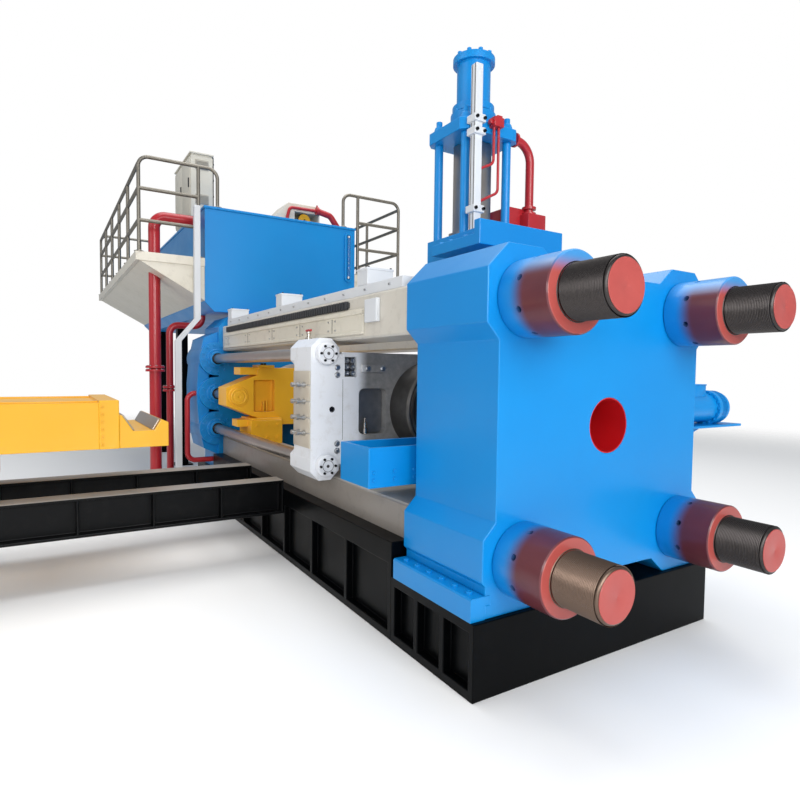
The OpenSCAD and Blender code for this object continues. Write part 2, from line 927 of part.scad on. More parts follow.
module decks() {
    color(CREAM) {
        deck();
        difference() {
            mirror([0, 1, 0]) deck();
            translate([pipe_x, pipe_y, deck_z - deck_t - lap])
                cylinder(h = deck_t + 2 * lap, d = pipe_d + 2 * pipe_gap);
        }
    }
}

// Side railing with rounded top corners
module railing() {
    x0 = x_tank - rail_d;
    x1 = x_tank - tank_l + rail_d;
    top = deck_z + rail_h;
    for (i = [1:bays - 1]) {
        x = x0 + (x1 - x0) * i / bays;
        tube([x, rail_y, deck_z], [x, rail_y, top], rail_d);
    }
    for (x = [x0, x1]) tube([x, rail_y, deck_z], [x, rail_y, top - rail_bend], rail_d);
    translate([x1, rail_y, top - rail_bend]) bend(rail_bend, rail_d);
    translate([x0, rail_y, top - rail_bend]) mirror([1, 0, 0]) bend(rail_bend, rail_d);
    tube([x1 + rail_bend, rail_y, top], [x0 - rail_bend, rail_y, top], rail_d);
    for (share = [1 / 3, 2 / 3])
        tube([x0, rail_y, deck_z + rail_h * share], [x1, rail_y, deck_z + rail_h * share], rail_d);
}

module railing_left() {
    color(STEEL) mirror([0, 1, 0]) railing();
}

module railing_right() {
    color(STEEL) railing();
}

// Railing across one end of a platform, with its top rail brought down on the tank's roof
module end_railing(x) {
    post_y = tank_w / 2 + 3 * rail_d / 2;
    roof_set = 160;
    roof_y = tank_w / 2 - roof_set;
    out = rail_y - rail_d / 2 - slide_gap;
    high = deck_z + rail_h - rail_bend;
    thinner = 4;
    post_d = rail_d - thinner;
    tube([x, post_y, deck_z], [x, post_y, high], post_d);
    tube([x, roof_y, roof_z], [x, roof_y, high - rail_bend], rail_d);
    translate([x, roof_y, high - rail_bend]) rotate([0, 0, 90]) bend(rail_bend, rail_d);
    tube([x, roof_y + rail_bend, high], [x, out, high], rail_d);
    for (share = [1 / 3, 2 / 3])
        tube([x, post_y, deck_z + share * rail_h], [x, out, deck_z + share * rail_h], rail_d);
}

module end_railings() {
    end_railing(x_tank - rail_d);
    end_railing(x_tank - tank_l + rail_d);
}

module railing_left_ends() {
    color(STEEL) mirror([0, 1, 0]) end_railings();
}

module railing_right_ends() {
    color(STEEL) end_railings();
}

// Bent duct that brings the cables down in front of the near platform
module cable_duct() {
    half = 35;
    upper_out = 100;
    jog = 218;
    jog_h = 266;
    jog_drop = 102;
    upper_y = -tank_w / 2 - upper_out;
    lower_y = upper_y - jog;
    bend_top = tank_low - jog_drop;
    bend_low = bend_top - jog_h;
    color(WHITE) along_x(x_tank + slide_gap, x_tank + slide_gap + 2 * half)
        polygon([[lower_y - half, -axis_h], [lower_y + half, -axis_h], [lower_y + half, bend_low],
            [upper_y + half, bend_top], [upper_y + half, tank_top], [upper_y - half, tank_top],
            [upper_y - half, bend_top], [lower_y - half, bend_low]]);
}

// Cabinet on the roof, with a sunken foot and a lid that stands out
module control_cabinet() {
    set_back = 738;
    front = x_tank - set_back;
    length = 1000;
    width = 280;
    height = 860;
    inset = 12;
    lid = 40;
    y0 = -tank_w / 2;
    color(CREAM) {
        span([front - length + inset, y0 + inset, roof_z],
             [front - inset, y0 + width - inset, roof_z + height]);
        span([front - length, y0, roof_z + lid], [front, y0 + width, roof_z + height - lid]);
        span([front - length - inset, y0 - inset, roof_z + height - lid / 2],
             [front + inset, y0 + width + inset, roof_z + height]);
    }
}

// Hood over the filter pump on the roof, sloping on one side and open to the front
hood_set = 398;
hood_gap = 340;
hood_x = x_tank - hood_set;
hood_out = tank_w / 2 - hood_gap;

module valve_block() {
    hood_l = 440;
    hood_h = 288;
    foot_w = 560;
    top_w = 400;
    wall = 34;
    open_w = 330;
    open_d = 300;
    color(CREAM) difference() {
        along_x(hood_x - hood_l, hood_x) translate([hood_out, roof_z - axis_h])
            polygon([[-foot_w, 0], [0, 0], [0, hood_h], [-top_w, hood_h]]);
        span([hood_x - open_d, hood_out - wall - open_w, roof_z + wall],
             [hood_x + lap, hood_out - wall, roof_z + hood_h - wall]);
    }
}

module roof_pipe() {
    pipe = 90;
    r = 110;
    rise = 60;
    set_back = 180;
    edge_gap = 70;
    x = hood_x - set_back;
    far_y = tank_w / 2 - edge_gap;
    color(RED) {
        tube([x, far_y, roof_z], [x, far_y, roof_z + rise], pipe);
        translate([x, far_y, roof_z + rise]) rotate([0, 0, -90]) bend(r, pipe);
        tube([x, hood_out + slide_gap, roof_z + rise + r], [x, far_y - r, roof_z + rise + r], pipe);
    }
}

// Oil pipes on the near side: one through the platform into the tank's side, one into its floor,
// and a small one from the middle side cylinder to the foot of the platen
module suction_pipes() {
    r = 130;
    drop = 102;
    high = axis_h + tank_top - drop;
    thin_d = 85;
    thin_set = 140;
    thin_out = 290;
    thin_drop = 76;
    thin_r = 110;
    thin_x = x_back - thin_set;
    thin_y = -tank_w / 2 - thin_out;
    thin_z = axis_h + half_h - thin_drop;
    thin_in = tank_cut - tank_w / 2;
    small_d = 60;
    small_set = 140;
    small_out = 110;
    small_drop = 794;
    small_r = 90;
    small_x = x_rear - small_set;
    small_y = -side_y - boss_r - small_out;
    small_low = axis_h - small_drop;
    color(RED) {
        tube([pipe_x, pipe_y, 0], [pipe_x, pipe_y, high - r], pipe_d);
        translate([pipe_x, pipe_y, high - r]) rotate([0, 0, 90]) bend(r, pipe_d);
        tube([pipe_x, pipe_y + r, high], [pipe_x, -tank_w / 2, high], pipe_d);
        tube([thin_x, thin_y, 0], [thin_x, thin_y, thin_z - thin_r], thin_d);
        translate([thin_x, thin_y, thin_z - thin_r]) rotate([0, 0, 90]) bend(thin_r, thin_d);
        tube([thin_x, thin_y + thin_r, thin_z], [thin_x, thin_in - thin_r, thin_z], thin_d);
        translate([thin_x, thin_in, thin_z + thin_r]) rotate([0, 0, -90]) mirror([0, 0, 1])
            bend(thin_r, thin_d);
        tube([thin_x, thin_in, thin_z + thin_r], [thin_x, thin_in, axis_h + tank_low], thin_d);
        tube([small_x, -side_y - boss_r - slide_gap, axis_h], [small_x, small_y + small_r, axis_h], small_d);
        translate([small_x, small_y, axis_h - small_r]) rotate([0, 0, 90]) bend(small_r, small_d);
        tube([small_x, small_y, axis_h - small_r], [small_x, small_y, small_low + small_r], small_d);
        translate([small_x, small_y, small_low + small_r]) rotate([0, 0, 90]) mirror([0, 0, 1])
            bend(small_r, small_d);
        tube([small_x, small_y + small_r, small_low], [small_x, -platen_w / 2, small_low], small_d);
    }
}

// Cable tray on the near upper sleeve, open at the top

tray_h = 70;
tray_wall = 8;
tray_set = 150;
tray_edge = 16;
tray_w = sleeve_w / 2;
tray_y = tray_edge - sleeve_out;

module cable_tray() {
    low = axis_h + sleeve_top;
    x0 = x_rear + tray_set;
    x1 = -platen_t - tray_set;
    color(WHITE) difference() {
        span([x0, tray_y, low], [x1, tray_y + tray_w, low + tray_h]);
        span([x0 + tray_wall, tray_y + tray_wall, low + tray_wall],
             [x1 - tray_wall, tray_y + tray_w - tray_wall, low + tray_h + lap]);
    }
}

// Boxes that sit on the tray's walls, and a plate on the side of the sleeve where the cables come down
module junction_boxes() {
    low = axis_h + sleeve_top + tray_h;
    box_w = 150;
    box_h = 110;
    near_set = 670;
    pitch = 1620;
    plate_w = 160;
    plate_h = 150;
    plate_d = 30;
    plate_set = 390;
    plate_low = 100;
    color(WHITE) {
        for (i = [0:2]) {
            x = -platen_t - near_set - pitch * i;
            span([x - box_w / 2, tray_y, low], [x + box_w / 2, tray_y + tray_w, low + box_h]);
        }
        span([-platen_t - plate_set - plate_w, -sleeve_out - plate_d, axis_h + sleeve_low + plate_low],
             [-platen_t - plate_set, -sleeve_out, axis_h + sleeve_low + plate_low + plate_h]);
    }
}

// Billet loader

module track_beam() {
    beam_w = 180;
    beam_t = 22;
    web_t = 16;
    stiff = 5;
    low = track_z - track_h;
    span([-beam_w / 2, -track_y - track_l, low], [beam_w / 2, -track_y, low + beam_t]);
    span([-beam_w / 2, -track_y - track_l, track_z - beam_t], [beam_w / 2, -track_y, track_z]);
    span([-web_t / 2, -track_y - track_l, low], [web_t / 2, -track_y, track_z]);
    for (i = [0:stiff]) {
        y = -track_y - track_l + (track_l - web_t) * i / stiff;
        span([-beam_w / 2, y, low], [beam_w / 2, y + web_t, track_z]);
    }
}

module loader_track() {
    color(BLACK) for (side = [-1, 1]) translate([track_x + side * track_pitch / 2, 0, 0]) track_beam();
}

module loader_legs() {
    leg = 180;
    shoe = 260;
    shoe_t = 25;
    color(BLACK) for (side = [-1, 1]) {
        x = track_x + side * track_pitch / 2;
        y = -track_y - track_l;
        span([x - leg / 2, y, 0], [x + leg / 2, y + leg, track_z - track_h]);
        span([x - shoe / 2, y, 0], [x + shoe / 2, y + shoe, shoe_t]);
    }
}

// Carriage on four wheels that carries the arm
module loader_carriage() {
    carriage_l = 500;
    y0 = -track_y - track_l + arm_tail;
    y1 = y0 + carriage_l;
    wheel_d = 170;
    wheel_w = 90;
    low = track_z + wheel_d / 2;
    color(YELLOW) {
        span([track_x - arm_w / 2, y0, low], [track_x + arm_w / 2, y1, arm_low]);
        for (side = [-1, 1], y = [y0 + wheel_d / 2, y1 - wheel_d / 2]) {
            x = track_x + side * track_pitch / 2;
            bar_x(x - wheel_w / 2, x + wheel_w / 2, y, low - axis_h, wheel_d);
        }
    }
}

module loader_arm() {
    end_t = 130;
    lip = 18;
    color(YELLOW) {
        span([track_x - arm_w / 2, -track_y - track_l + arm_tail, arm_low],
             [track_x + arm_w / 2, arm_end, arm_low + arm_h]);
        span([track_x - arm_w / 2 - lip, arm_end - end_t, arm_low],
             [track_x + arm_w / 2 + lip, arm_end, arm_low + arm_h + lip]);
    }
}

// Points of the V in the nose, measured from the arm's end and its lower face
v_left = 18;
v_low_left = 95;
v_low_right = 242;
v_right = 290;
v_low = 122;
v_high = 242;
v_out = 204;
v_slope = 24;

module loader_nose() {
    color(YELLOW) along_x(track_x - arm_w / 2, track_x + arm_w / 2)
        translate([arm_end, arm_low - axis_h]) polygon([[0, 0], [nose_l, 0], [nose_l, v_out - v_slope],
            [v_right, v_out], [v_low_right, v_low], [v_low_left, v_low], [v_left, v_high], [0, v_high]]);
}

// Steel wear plates on both faces of the V
module loader_plates() {
    plate = 16;
    inset = 40;
    color(STEEL) along_x(track_x - arm_w / 2 + inset, track_x + arm_w / 2 - inset)
        translate([arm_end, arm_low - axis_h]) {
            polygon([[v_low_left, v_low], [v_left, v_high],
                [v_left + plate, v_high], [v_low_left + plate, v_low]]);
            polygon([[v_low_right, v_low], [v_right, v_out],
                [v_right - plate, v_out], [v_low_right - plate, v_low]]);
        }
}

base_front();
base_rear();
base_girders();
base_cross_beams();
front_platen();
platen_keepers();
rear_platen();
tie_rods();
front_nuts();
rear_nuts();
upper_sleeves();
lower_sleeves();
sleeve_cover();
main_cylinder();
gland_rings();
cylinder_caps();
container_housing();
holder_plates();
container();
container_rods();
rod_caps();
crosshead();
crosshead_rods();
main_ram();
extrusion_stem();
die_slide();
die_stack();
die_motor();
shear_base();
shear_columns();
shear_plate();
shear_cylinder();
shear_rod();
shear_gauge();
tank_saddle();
tank_shell();
tank_roof();
tank_stand();
level_gauge();
decks();
railing_left();
railing_right();
railing_left_ends();
railing_right_ends();
cable_duct();
control_cabinet();
valve_block();
roof_pipe();
suction_pipes();
cable_tray();
junction_boxes();
loader_track();
loader_legs();
loader_carriage();
loader_arm();
loader_nose();
loader_plates();
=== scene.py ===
# %% [markdown]
# The object is a horizontal extrusion press. Two heavy blue platens are held apart by four tie rods, and a
# container and a crosshead slide between them. The CAD frame holds the main shapes. This file gives them their
# paint and steel, puts fuller forms in the places of a few that are plainer there, and adds what is too small for
# the frame: threads, bolts, louvres, fittings and seams. The first cell loads the frame.

# %% Load the frame
import json
import math

import bmesh
import bpy
from mathutils import Matrix, Vector


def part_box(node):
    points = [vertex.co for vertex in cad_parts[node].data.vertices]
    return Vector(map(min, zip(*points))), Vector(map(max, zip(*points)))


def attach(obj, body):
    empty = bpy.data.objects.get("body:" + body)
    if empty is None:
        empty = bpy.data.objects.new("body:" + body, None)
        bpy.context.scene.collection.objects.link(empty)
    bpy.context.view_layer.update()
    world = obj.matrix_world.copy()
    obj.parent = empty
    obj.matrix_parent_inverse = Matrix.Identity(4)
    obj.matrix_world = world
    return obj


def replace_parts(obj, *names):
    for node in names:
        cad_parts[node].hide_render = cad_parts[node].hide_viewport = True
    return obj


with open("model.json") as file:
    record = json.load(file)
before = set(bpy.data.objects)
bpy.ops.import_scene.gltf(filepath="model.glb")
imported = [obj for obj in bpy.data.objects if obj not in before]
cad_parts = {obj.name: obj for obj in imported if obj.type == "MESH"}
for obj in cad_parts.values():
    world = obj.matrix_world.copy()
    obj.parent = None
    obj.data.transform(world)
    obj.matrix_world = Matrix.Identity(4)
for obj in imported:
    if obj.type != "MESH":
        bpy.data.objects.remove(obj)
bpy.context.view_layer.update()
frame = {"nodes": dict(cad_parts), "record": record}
scene = bpy.context.scene

# %% [markdown]
# The picture was taken by someone standing close to the front platen's near corner with a wide lens. The
# place, direction and lens came from lining up known corners of the platen. A camera's matrix has the right,
# up and backward directions in its columns, so the three angles are turned into those directions by hand.

# %% Camera at the picture's view
EYE = Vector((2.1384, -2.6911, 1.5857))
YAW = 1.01738
PITCH = 0.0489
ROLL = 0.011987
LENS_MM = 26.2
SENSOR_MM = 36.0
FAR_CLIP = 200

ahead = Vector((-math.sin(YAW) * math.cos(PITCH), math.cos(YAW) * math.cos(PITCH), -math.sin(PITCH)))
level = Vector((math.cos(YAW), math.sin(YAW), 0))
upright = level.cross(ahead)
right = math.cos(ROLL) * level + math.sin(ROLL) * upright
up = math.cos(ROLL) * upright - math.sin(ROLL) * level
lens = bpy.data.cameras.new("camera")
lens.lens = LENS_MM
lens.sensor_width = SENSOR_MM
lens.clip_end = FAR_CLIP
camera = bpy.data.objects.new("camera", lens)
camera.matrix_world = Matrix.Translation(EYE) @ Matrix((right, up, -ahead)).transposed().to_4x4()
scene.collection.objects.link(camera)
scene.camera = camera
print("camera at", tuple(round(v, 2) for v in EYE))

# %% [markdown]
# A machine is photographed on a plain pale floor. The floor here is one large sheet. Enamel needs large soft lights,
# because their reflections make wide smooth highlights: one stands in front of the platen's face, one reaches past
# its near corner to the faces further back, one fills the long near side, and one hangs above. The world lights the
# shadows a little, and shows the camera a white studio wall, into which the floor fades out far from the press.

# %% Floor and studio light
def linear(code):
    """A colour given as sRGB hex, as linear red, green, blue and alpha."""
    parts = [int(code[i:i + 2], 16) / 255 for i in (1, 3, 5)]
    return [p / 12.92 if p <= 0.04045 else ((p + 0.055) / 1.055) ** 2.4 for p in parts] + [1]


def add(tree, kind, values=None, links=None, **settings):
    """Adds one node: settings are its properties, values its sockets, links the sockets that feed it."""
    node = tree.nodes.new(kind)
    for name, value in settings.items():
        setattr(node, name, value)
    for socket, value in (values or {}).items():
        node.inputs[socket].default_value = value
    for socket, source in (links or {}).items():
        tree.links.new(source, node.inputs[socket])
    return node


FLOOR_SIZE = 60
FLOOR_AT = (-3.5, 0, -0.001)
FLOOR_FADE = (9.0, 17.0)
half_floor = FLOOR_SIZE / 2
floor_mesh = bpy.data.meshes.new("floor")
floor_mesh.from_pydata([(-half_floor, -half_floor, 0), (half_floor, -half_floor, 0),
                        (half_floor, half_floor, 0), (-half_floor, half_floor, 0)], [], [(0, 1, 2, 3)])
floor = bpy.data.objects.new("floor", floor_mesh)
floor.location = FLOOR_AT
scene.collection.objects.link(floor)

pale_floor = bpy.data.materials.new("pale_studio_floor")
pale_floor.use_nodes = True
floor_shader = pale_floor.node_tree.nodes["Principled BSDF"]
floor_shader.inputs["Base Color"].default_value = linear("#f7f7f6")
floor_shader.inputs["Roughness"].default_value = 0.7
floor_tree = pale_floor.node_tree
spot = add(floor_tree, "ShaderNodeTexCoord")
away = add(floor_tree, "ShaderNodeVectorMath", links={0: spot.outputs["Object"]}, operation="LENGTH")
fade = add(floor_tree, "ShaderNodeMapRange", {"From Min": FLOOR_FADE[0], "From Max": FLOOR_FADE[1]},
           {"Value": away.outputs["Value"]}, interpolation_type="SMOOTHSTEP")
clear = add(floor_tree, "ShaderNodeBsdfTransparent")
blend = add(floor_tree, "ShaderNodeMixShader", links={"Fac": fade.outputs["Result"]})
floor_tree.links.new(floor_shader.outputs["BSDF"], blend.inputs[1])
floor_tree.links.new(clear.outputs["BSDF"], blend.inputs[2])
floor_tree.links.new(blend.outputs["Shader"], floor_tree.nodes["Material Output"].inputs["Surface"])
floor_mesh.materials.append(pale_floor)

world = bpy.data.worlds.new("studio")
world.use_nodes = True
scene.world = world
sky = world.node_tree
wall = sky.nodes["Background"]
wall.inputs["Color"].default_value = linear("#ffffff")
shade = add(sky, "ShaderNodeBackground", {"Color": linear("#eef2f8"), "Strength": 0.46})
path = add(sky, "ShaderNodeLightPath")
mix = add(sky, "ShaderNodeMixShader", links={"Fac": path.outputs["Is Camera Ray"]})
sky.links.new(shade.outputs["Background"], mix.inputs[1])
sky.links.new(wall.outputs["Background"], mix.inputs[2])
sky.links.new(mix.outputs["Shader"], sky.nodes["World Output"].inputs["Surface"])
scene.view_settings.view_transform = "Standard"


def soft_light(name, place, target, width, watts):
    """A square area light that faces the target."""
    data = bpy.data.lights.new(name, "AREA")
    data.size = width
    data.energy = watts
    light = bpy.data.objects.new(name, data)
    light.location = place
    light.rotation_euler = (Vector(target) - Vector(place)).to_track_quat("-Z", "Y").to_euler()
    scene.collection.objects.link(light)


soft_light("face_light", (7.5, -1.0, 4.5), (0, 0, 1.3), width=4, watts=480)
soft_light("corner_light", (7.0, -6.0, 3.5), (-2.0, -0.9, 1.3), width=3, watts=290)
soft_light("side_light", (-3.0, -9.0, 6.0), (-3.0, 0, 1.5), width=6, watts=160)
soft_light("top_light", (-4.0, 1.0, 11.0), (-4.0, 0, 2.0), width=9, watts=900)

# %% [markdown]
# Most of the press is sprayed enamel over filled and sanded steel. Enamel is a smooth film with a clear
# gloss, a slight orange peel, and a colour that drifts a little from coat to coat. One function mixes those
# three things for every paint: a broad noise moves the colour, a middle one moves the roughness, and
# a fine one bends the surface. Sizes are given in millimetres and turned into noise scales.

# %% Painted steel
def per_metre(millimetres):
    """Noise scale that makes features about this large."""
    return 1000 / millimetres


GRIME_MM, GRIME_FROM, GRIME_TO, GRIME_MOST = 90, 0.52, 0.78, 0.55
WIPE_MM, DULLED, POLISHED = 220, 1.35, 0.75
PEEL_DEPTH = 0.002
COAT_ROUGHNESS = 0.12


def paint(name, colour, drift_to, gloss, drift_mm=700, peel_mm=14, peel=0.04, dust=None, coat=0.25, mirror=0.35):
    """A sprayed paint film: base colour, the colour it drifts to, roughness, and the size of its orange peel."""
    material = bpy.data.materials.new(name)
    material.use_nodes = True
    tree = material.node_tree
    shader = tree.nodes["Principled BSDF"]
    place = add(tree, "ShaderNodeTexCoord")
    cloud = add(tree, "ShaderNodeTexNoise", {"Scale": per_metre(drift_mm), "Detail": 3.0},
                {"Vector": place.outputs["Object"]})
    tone = add(tree, "ShaderNodeMixRGB", {"Color1": linear(colour), "Color2": linear(drift_to)},
               {"Fac": cloud.outputs["Fac"]})
    colour_out = tone.outputs["Color"]
    if dust:
        grime = add(tree, "ShaderNodeTexNoise", {"Scale": per_metre(GRIME_MM), "Detail": 6.0, "Roughness": 0.7},
                    {"Vector": place.outputs["Object"]})
        patch = add(tree, "ShaderNodeMapRange",
                    {"From Min": GRIME_FROM, "From Max": GRIME_TO, "To Max": GRIME_MOST},
                    {"Value": grime.outputs["Fac"]})
        layer = add(tree, "ShaderNodeMixRGB", {"Color2": linear(dust)},
                    {"Fac": patch.outputs["Result"], "Color1": colour_out})
        colour_out = layer.outputs["Color"]
    tree.links.new(colour_out, shader.inputs["Base Color"])
    wipe = add(tree, "ShaderNodeTexNoise", {"Scale": per_metre(WIPE_MM), "Detail": 4.0},
               {"Vector": place.outputs["Object"]})
    sheen = add(tree, "ShaderNodeMapRange", {"To Min": gloss * POLISHED, "To Max": gloss * DULLED},
                {"Value": wipe.outputs["Fac"]})
    tree.links.new(sheen.outputs["Result"], shader.inputs["Roughness"])
    orange_peel = add(tree, "ShaderNodeTexNoise", {"Scale": per_metre(peel_mm), "Detail": 2.0},
                      {"Vector": place.outputs["Object"]})
    bump = add(tree, "ShaderNodeBump", {"Strength": peel, "Distance": PEEL_DEPTH},
               {"Height": orange_peel.outputs["Fac"]})
    tree.links.new(bump.outputs["Normal"], shader.inputs["Normal"])
    shader.inputs["Specular IOR Level"].default_value = mirror
    shader.inputs["Coat Weight"].default_value = coat
    shader.inputs["Coat Roughness"].default_value = COAT_ROUGHNESS
    return material


BLUE, BLUE_DRIFT = "#007cc4", "#0088ce"
# Sprayed enamel: strong even colour under a soft gloss that follows each large face.
blue_enamel = paint("blue_enamel_sprayed", BLUE, BLUE_DRIFT, 0.36, coat=0.12)
# Brushed satin paint: nearly no reflection, so edges show only where dust has settled.
black_paint = paint("black_satin_paint", "#010203", "#040506", 0.32, dust="#0a0a0b", coat=0.0, mirror=0.08)
# Sprayed enamel: a cool pale grey that takes the colour of its surroundings.
pale_enamel = paint("pale_grey_enamel", "#dde0e6", "#e7e9ec", 0.36)
# Sprayed enamel: a warm yellow with a clear highlight along the edges.
yellow_enamel = paint("yellow_enamel_sprayed", "#e0a214", "#eab22c", 0.34)
# The crosshead's yellow is painted lighter than the loader's: a painted highlight that makes up for the shade on the
# crosshead.
crosshead_lit_enamel = paint("yellow_enamel_painted_lighter", "#f6b41a", "#fbc03a", 0.34)
# Rolled semi-gloss paint: cream with grey patches where it is walked on.
cream_paint = paint("cream_semi_gloss_paint", "#cfc9b8", "#dcd6c8", 0.42, dust="#b5ae9f")
# Baked powder coats: a fine grain that breaks every reflection into a dull glow.
cabinet_paint = paint("beige_textured_powder_coat", "#c4c0b3", "#d0cdc2", 0.55, peel_mm=6, peel=0.12, coat=0.0)
white_coat = paint("white_powder_coat", "#c9ccd0", "#d8dbde", 0.45, peel_mm=7, peel=0.08, coat=0.0)
vent_grey = paint("grey_powder_coated_vent", "#9b978d", "#a8a49a", 0.5, peel_mm=6, peel=0.1, coat=0.0)
# Sprayed enamels on pipe and liner: deep red with a long highlight on the round.
red_enamel = paint("red_enamel_pipe_paint", "#a01d25", "#b82c33", 0.30)
liner_red = paint("red_enamel_liner", "#b50f16", "#c8161d", 0.4)
# Moulded plastic: dark grey rather than black, with no gloss of its own.
black_plastic = paint("black_moulded_plastic", "#2b2c2e", "#353639", 0.5, coat=0.0)
# Cast acrylic: half clear, so the blue behind it shows through with sharp highlights.
clear_plastic = paint("clear_acrylic_tube", "#3f8fd0", "#4b9ada", 0.12, coat=0.0)
clear_plastic.node_tree.nodes["Principled BSDF"].inputs["Transmission Weight"].default_value = 0.5
# Enamel that has been warm for years: the same gloss, turned towards brown.
warm_enamel = paint("pale_enamel_yellowed", "#b9b0a0", "#c6bdae", 0.4)
print("paints ready")

# %% [markdown]
# The bare metals keep the default IOR and get their look from colour and roughness. A ground rod is the nearest to
# a mirror among the large ones. Tool steel that has been hot is mottled brown and grey. Galvanised tube is dull and
# cloudy. Each has its own cloud of colour and roughness, so no two surfaces shine alike.

# %% Bare steel
def steel(name, colour, drift_to, low, high, patch_mm, metal=1.0):
    """Bare metal with a cloudy colour and a roughness that runs from low to high in patches."""
    material = bpy.data.materials.new(name)
    material.use_nodes = True
    tree = material.node_tree
    shader = tree.nodes["Principled BSDF"]
    place = add(tree, "ShaderNodeTexCoord")
    cloud = add(tree, "ShaderNodeTexNoise", {"Scale": per_metre(patch_mm), "Detail": 6.0, "Roughness": 0.65},
                {"Vector": place.outputs["Object"]})
    tone = add(tree, "ShaderNodeMixRGB", {"Color1": linear(colour), "Color2": linear(drift_to)},
               {"Fac": cloud.outputs["Fac"]})
    tree.links.new(tone.outputs["Color"], shader.inputs["Base Color"])
    shine = add(tree, "ShaderNodeMapRange", {"To Min": low, "To Max": high}, {"Value": cloud.outputs["Fac"]})
    tree.links.new(shine.outputs["Result"], shader.inputs["Roughness"])
    shader.inputs["Metallic"].default_value = metal
    return material


# Ground and oiled: a warm mirror, blurred in patches where the oil is thick.
ground_rod = steel("ground_rod_steel", "#a89d92", "#c9c2ba", 0.22, 0.45, 160)
# Heated and cooled many times: dark grey clouds with duller brown ones between them.
tool_steel = steel("heat_mottled_tool_steel", "#3f3f40", "#7b7874", 0.35, 0.62, 70)
# Dipped in zinc and weathered: a dull grey whose crystals show as small clouds.
galvanised = steel("galvanised_tube", "#6f6a61", "#928d84", 0.38, 0.55, 45)
# Plated: small bright points on the screws.
zinc = steel("zinc_plated_screw", "#a8a9ab", "#c9cacb", 0.25, 0.4, 20)
# Blackened in an oxide bath: dark, with a thin metal glint on the corners.
dark_screw = steel("black_oxide_screw", "#1f2023", "#35363a", 0.35, 0.5, 20)
# Cut on a lathe and greased: dark grooves and fine glinting crests.
thread_steel = steel("threaded_bar_steel", "#282728", "#56514f", 0.28, 0.52, 10)
# Cast and left rough: an even grey without a clear reflection.
cast_steel = steel("cast_steel_grey", "#77787a", "#a2a3a5", 0.4, 0.6, 60)
# Freshly turned: the brightest metal on the press.
bright_edge = steel("turned_bright_steel", "#b5aca0", "#d6cfc6", 0.18, 0.32, 30)
print("metals ready")

# %% [markdown]
# Some finishes change along the object. The sleeves are grey satin paint whose top is painted lighter, a painted
# highlight from the light above. The nuts were red before the platen was sprayed, and their blue, fading out over
# their first part, is partly overspray and partly a painted reflection of the blue platen. The nuts' end faces are a
# paler red. A place along an axis, turned into a share from 0 to 1, drives such a mix.

# %% Finishes that change from place to place
def share_along(tree, axis, start, stop):
    """Share from 0 to 1 as the place along an axis goes from start to stop, in metres."""
    place = add(tree, "ShaderNodeTexCoord")
    axes = add(tree, "ShaderNodeSeparateXYZ", links={"Vector": place.outputs["Object"]})
    ramp = add(tree, "ShaderNodeMapRange", {"From Min": start, "From Max": stop},
               {"Value": axes.outputs[axis]}, interpolation_type="SMOOTHSTEP")
    return ramp.outputs["Result"]


def layer_over(material, colour, share):
    """Mixes one more colour over a finish: share 0 keeps the finish, share 1 shows the colour."""
    tree = material.node_tree
    shader = tree.nodes["Principled BSDF"]
    under = shader.inputs["Base Color"].links[0].from_socket
    over = add(tree, "ShaderNodeMixRGB", {"Color2": linear(colour)}, {"Fac": share, "Color1": under})
    tree.links.new(over.outputs["Color"], shader.inputs["Base Color"])


nut_low, nut_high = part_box("front_nuts")
nut_length = nut_high.x - nut_low.x
# Red primer under blue that fades out towards the front: partly overspray, partly a painted reflection of the blue
# platen, so the nut seems to grow out of the blue face.
nut_red = paint("red_primer_with_overspray_and_painted_reflection", "#512129", "#652b31", 0.4, drift_mm=120, peel=0.03)
layer_over(nut_red, BLUE, share_along(nut_red.node_tree, "X", nut_low.x + 0.55 * nut_length,
                                      nut_low.x + 0.22 * nut_length))
layer_over(nut_red, "#a84c46", share_along(nut_red.node_tree, "X", nut_high.x - 0.004, nut_high.x - 0.0005))
# The upper pair is blue on top, also over the end ring: partly overspray from above, partly a painted reflection of
# the blue platen.
BLUE_TOP_FROM, BLUE_TOP_TO = 0.120, 0.020
layer_over(nut_red, "#3c8fd0", share_along(nut_red.node_tree, "Z", nut_high.z - BLUE_TOP_FROM, nut_high.z - BLUE_TOP_TO))
# Red primer without a top coat: dull brown red, and paler where it is thin on the sawn rod ends.
plain_nut = paint("red_primer", "#5d2529", "#733033", 0.4, peel=0.03)
end_red = paint("red_primer_on_rod_end", "#9a3d39", "#a84842", 0.45, drift_mm=90, peel=0.03)
# The near lower rod is painted a lighter brown than the others: painted light on that rod, while the upper rods keep
# a dark colour that stands for shade.
tree = thread_steel.node_tree
LIT_ROD_Y, LIT_ROD_Z = (-0.3, -0.4), (1.2, 1.0)
lit_rod_share = add(tree, "ShaderNodeMath", operation="MULTIPLY",
            links={0: share_along(tree, "Y", *LIT_ROD_Y), 1: share_along(tree, "Z", *LIT_ROD_Z)})
layer_over(thread_steel, "#6c5b50", lit_rod_share.outputs["Value"])

LIT_TOP_BAND = 0.012
sleeve_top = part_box("lower_sleeves")[1].z
# Rolled satin paints: grey with dirt in patches. On the lower sleeves the top face and a band at the top of the sides
# are painted paler, a painted highlight of the light from above.
sleeve_paint = paint("grey_satin_paint", "#86807a", "#979088", 0.4, dust="#6f6a64")
layer_over(sleeve_paint, "#b7b1a6", share_along(sleeve_paint.node_tree, "Z", sleeve_top - LIT_TOP_BAND, sleeve_top))
upper_paint = paint("cream_grey_satin_paint", "#c4bfb4", "#d2ccc0", 0.4, dust="#a8a298")

track_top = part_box("loader_track")[1].z
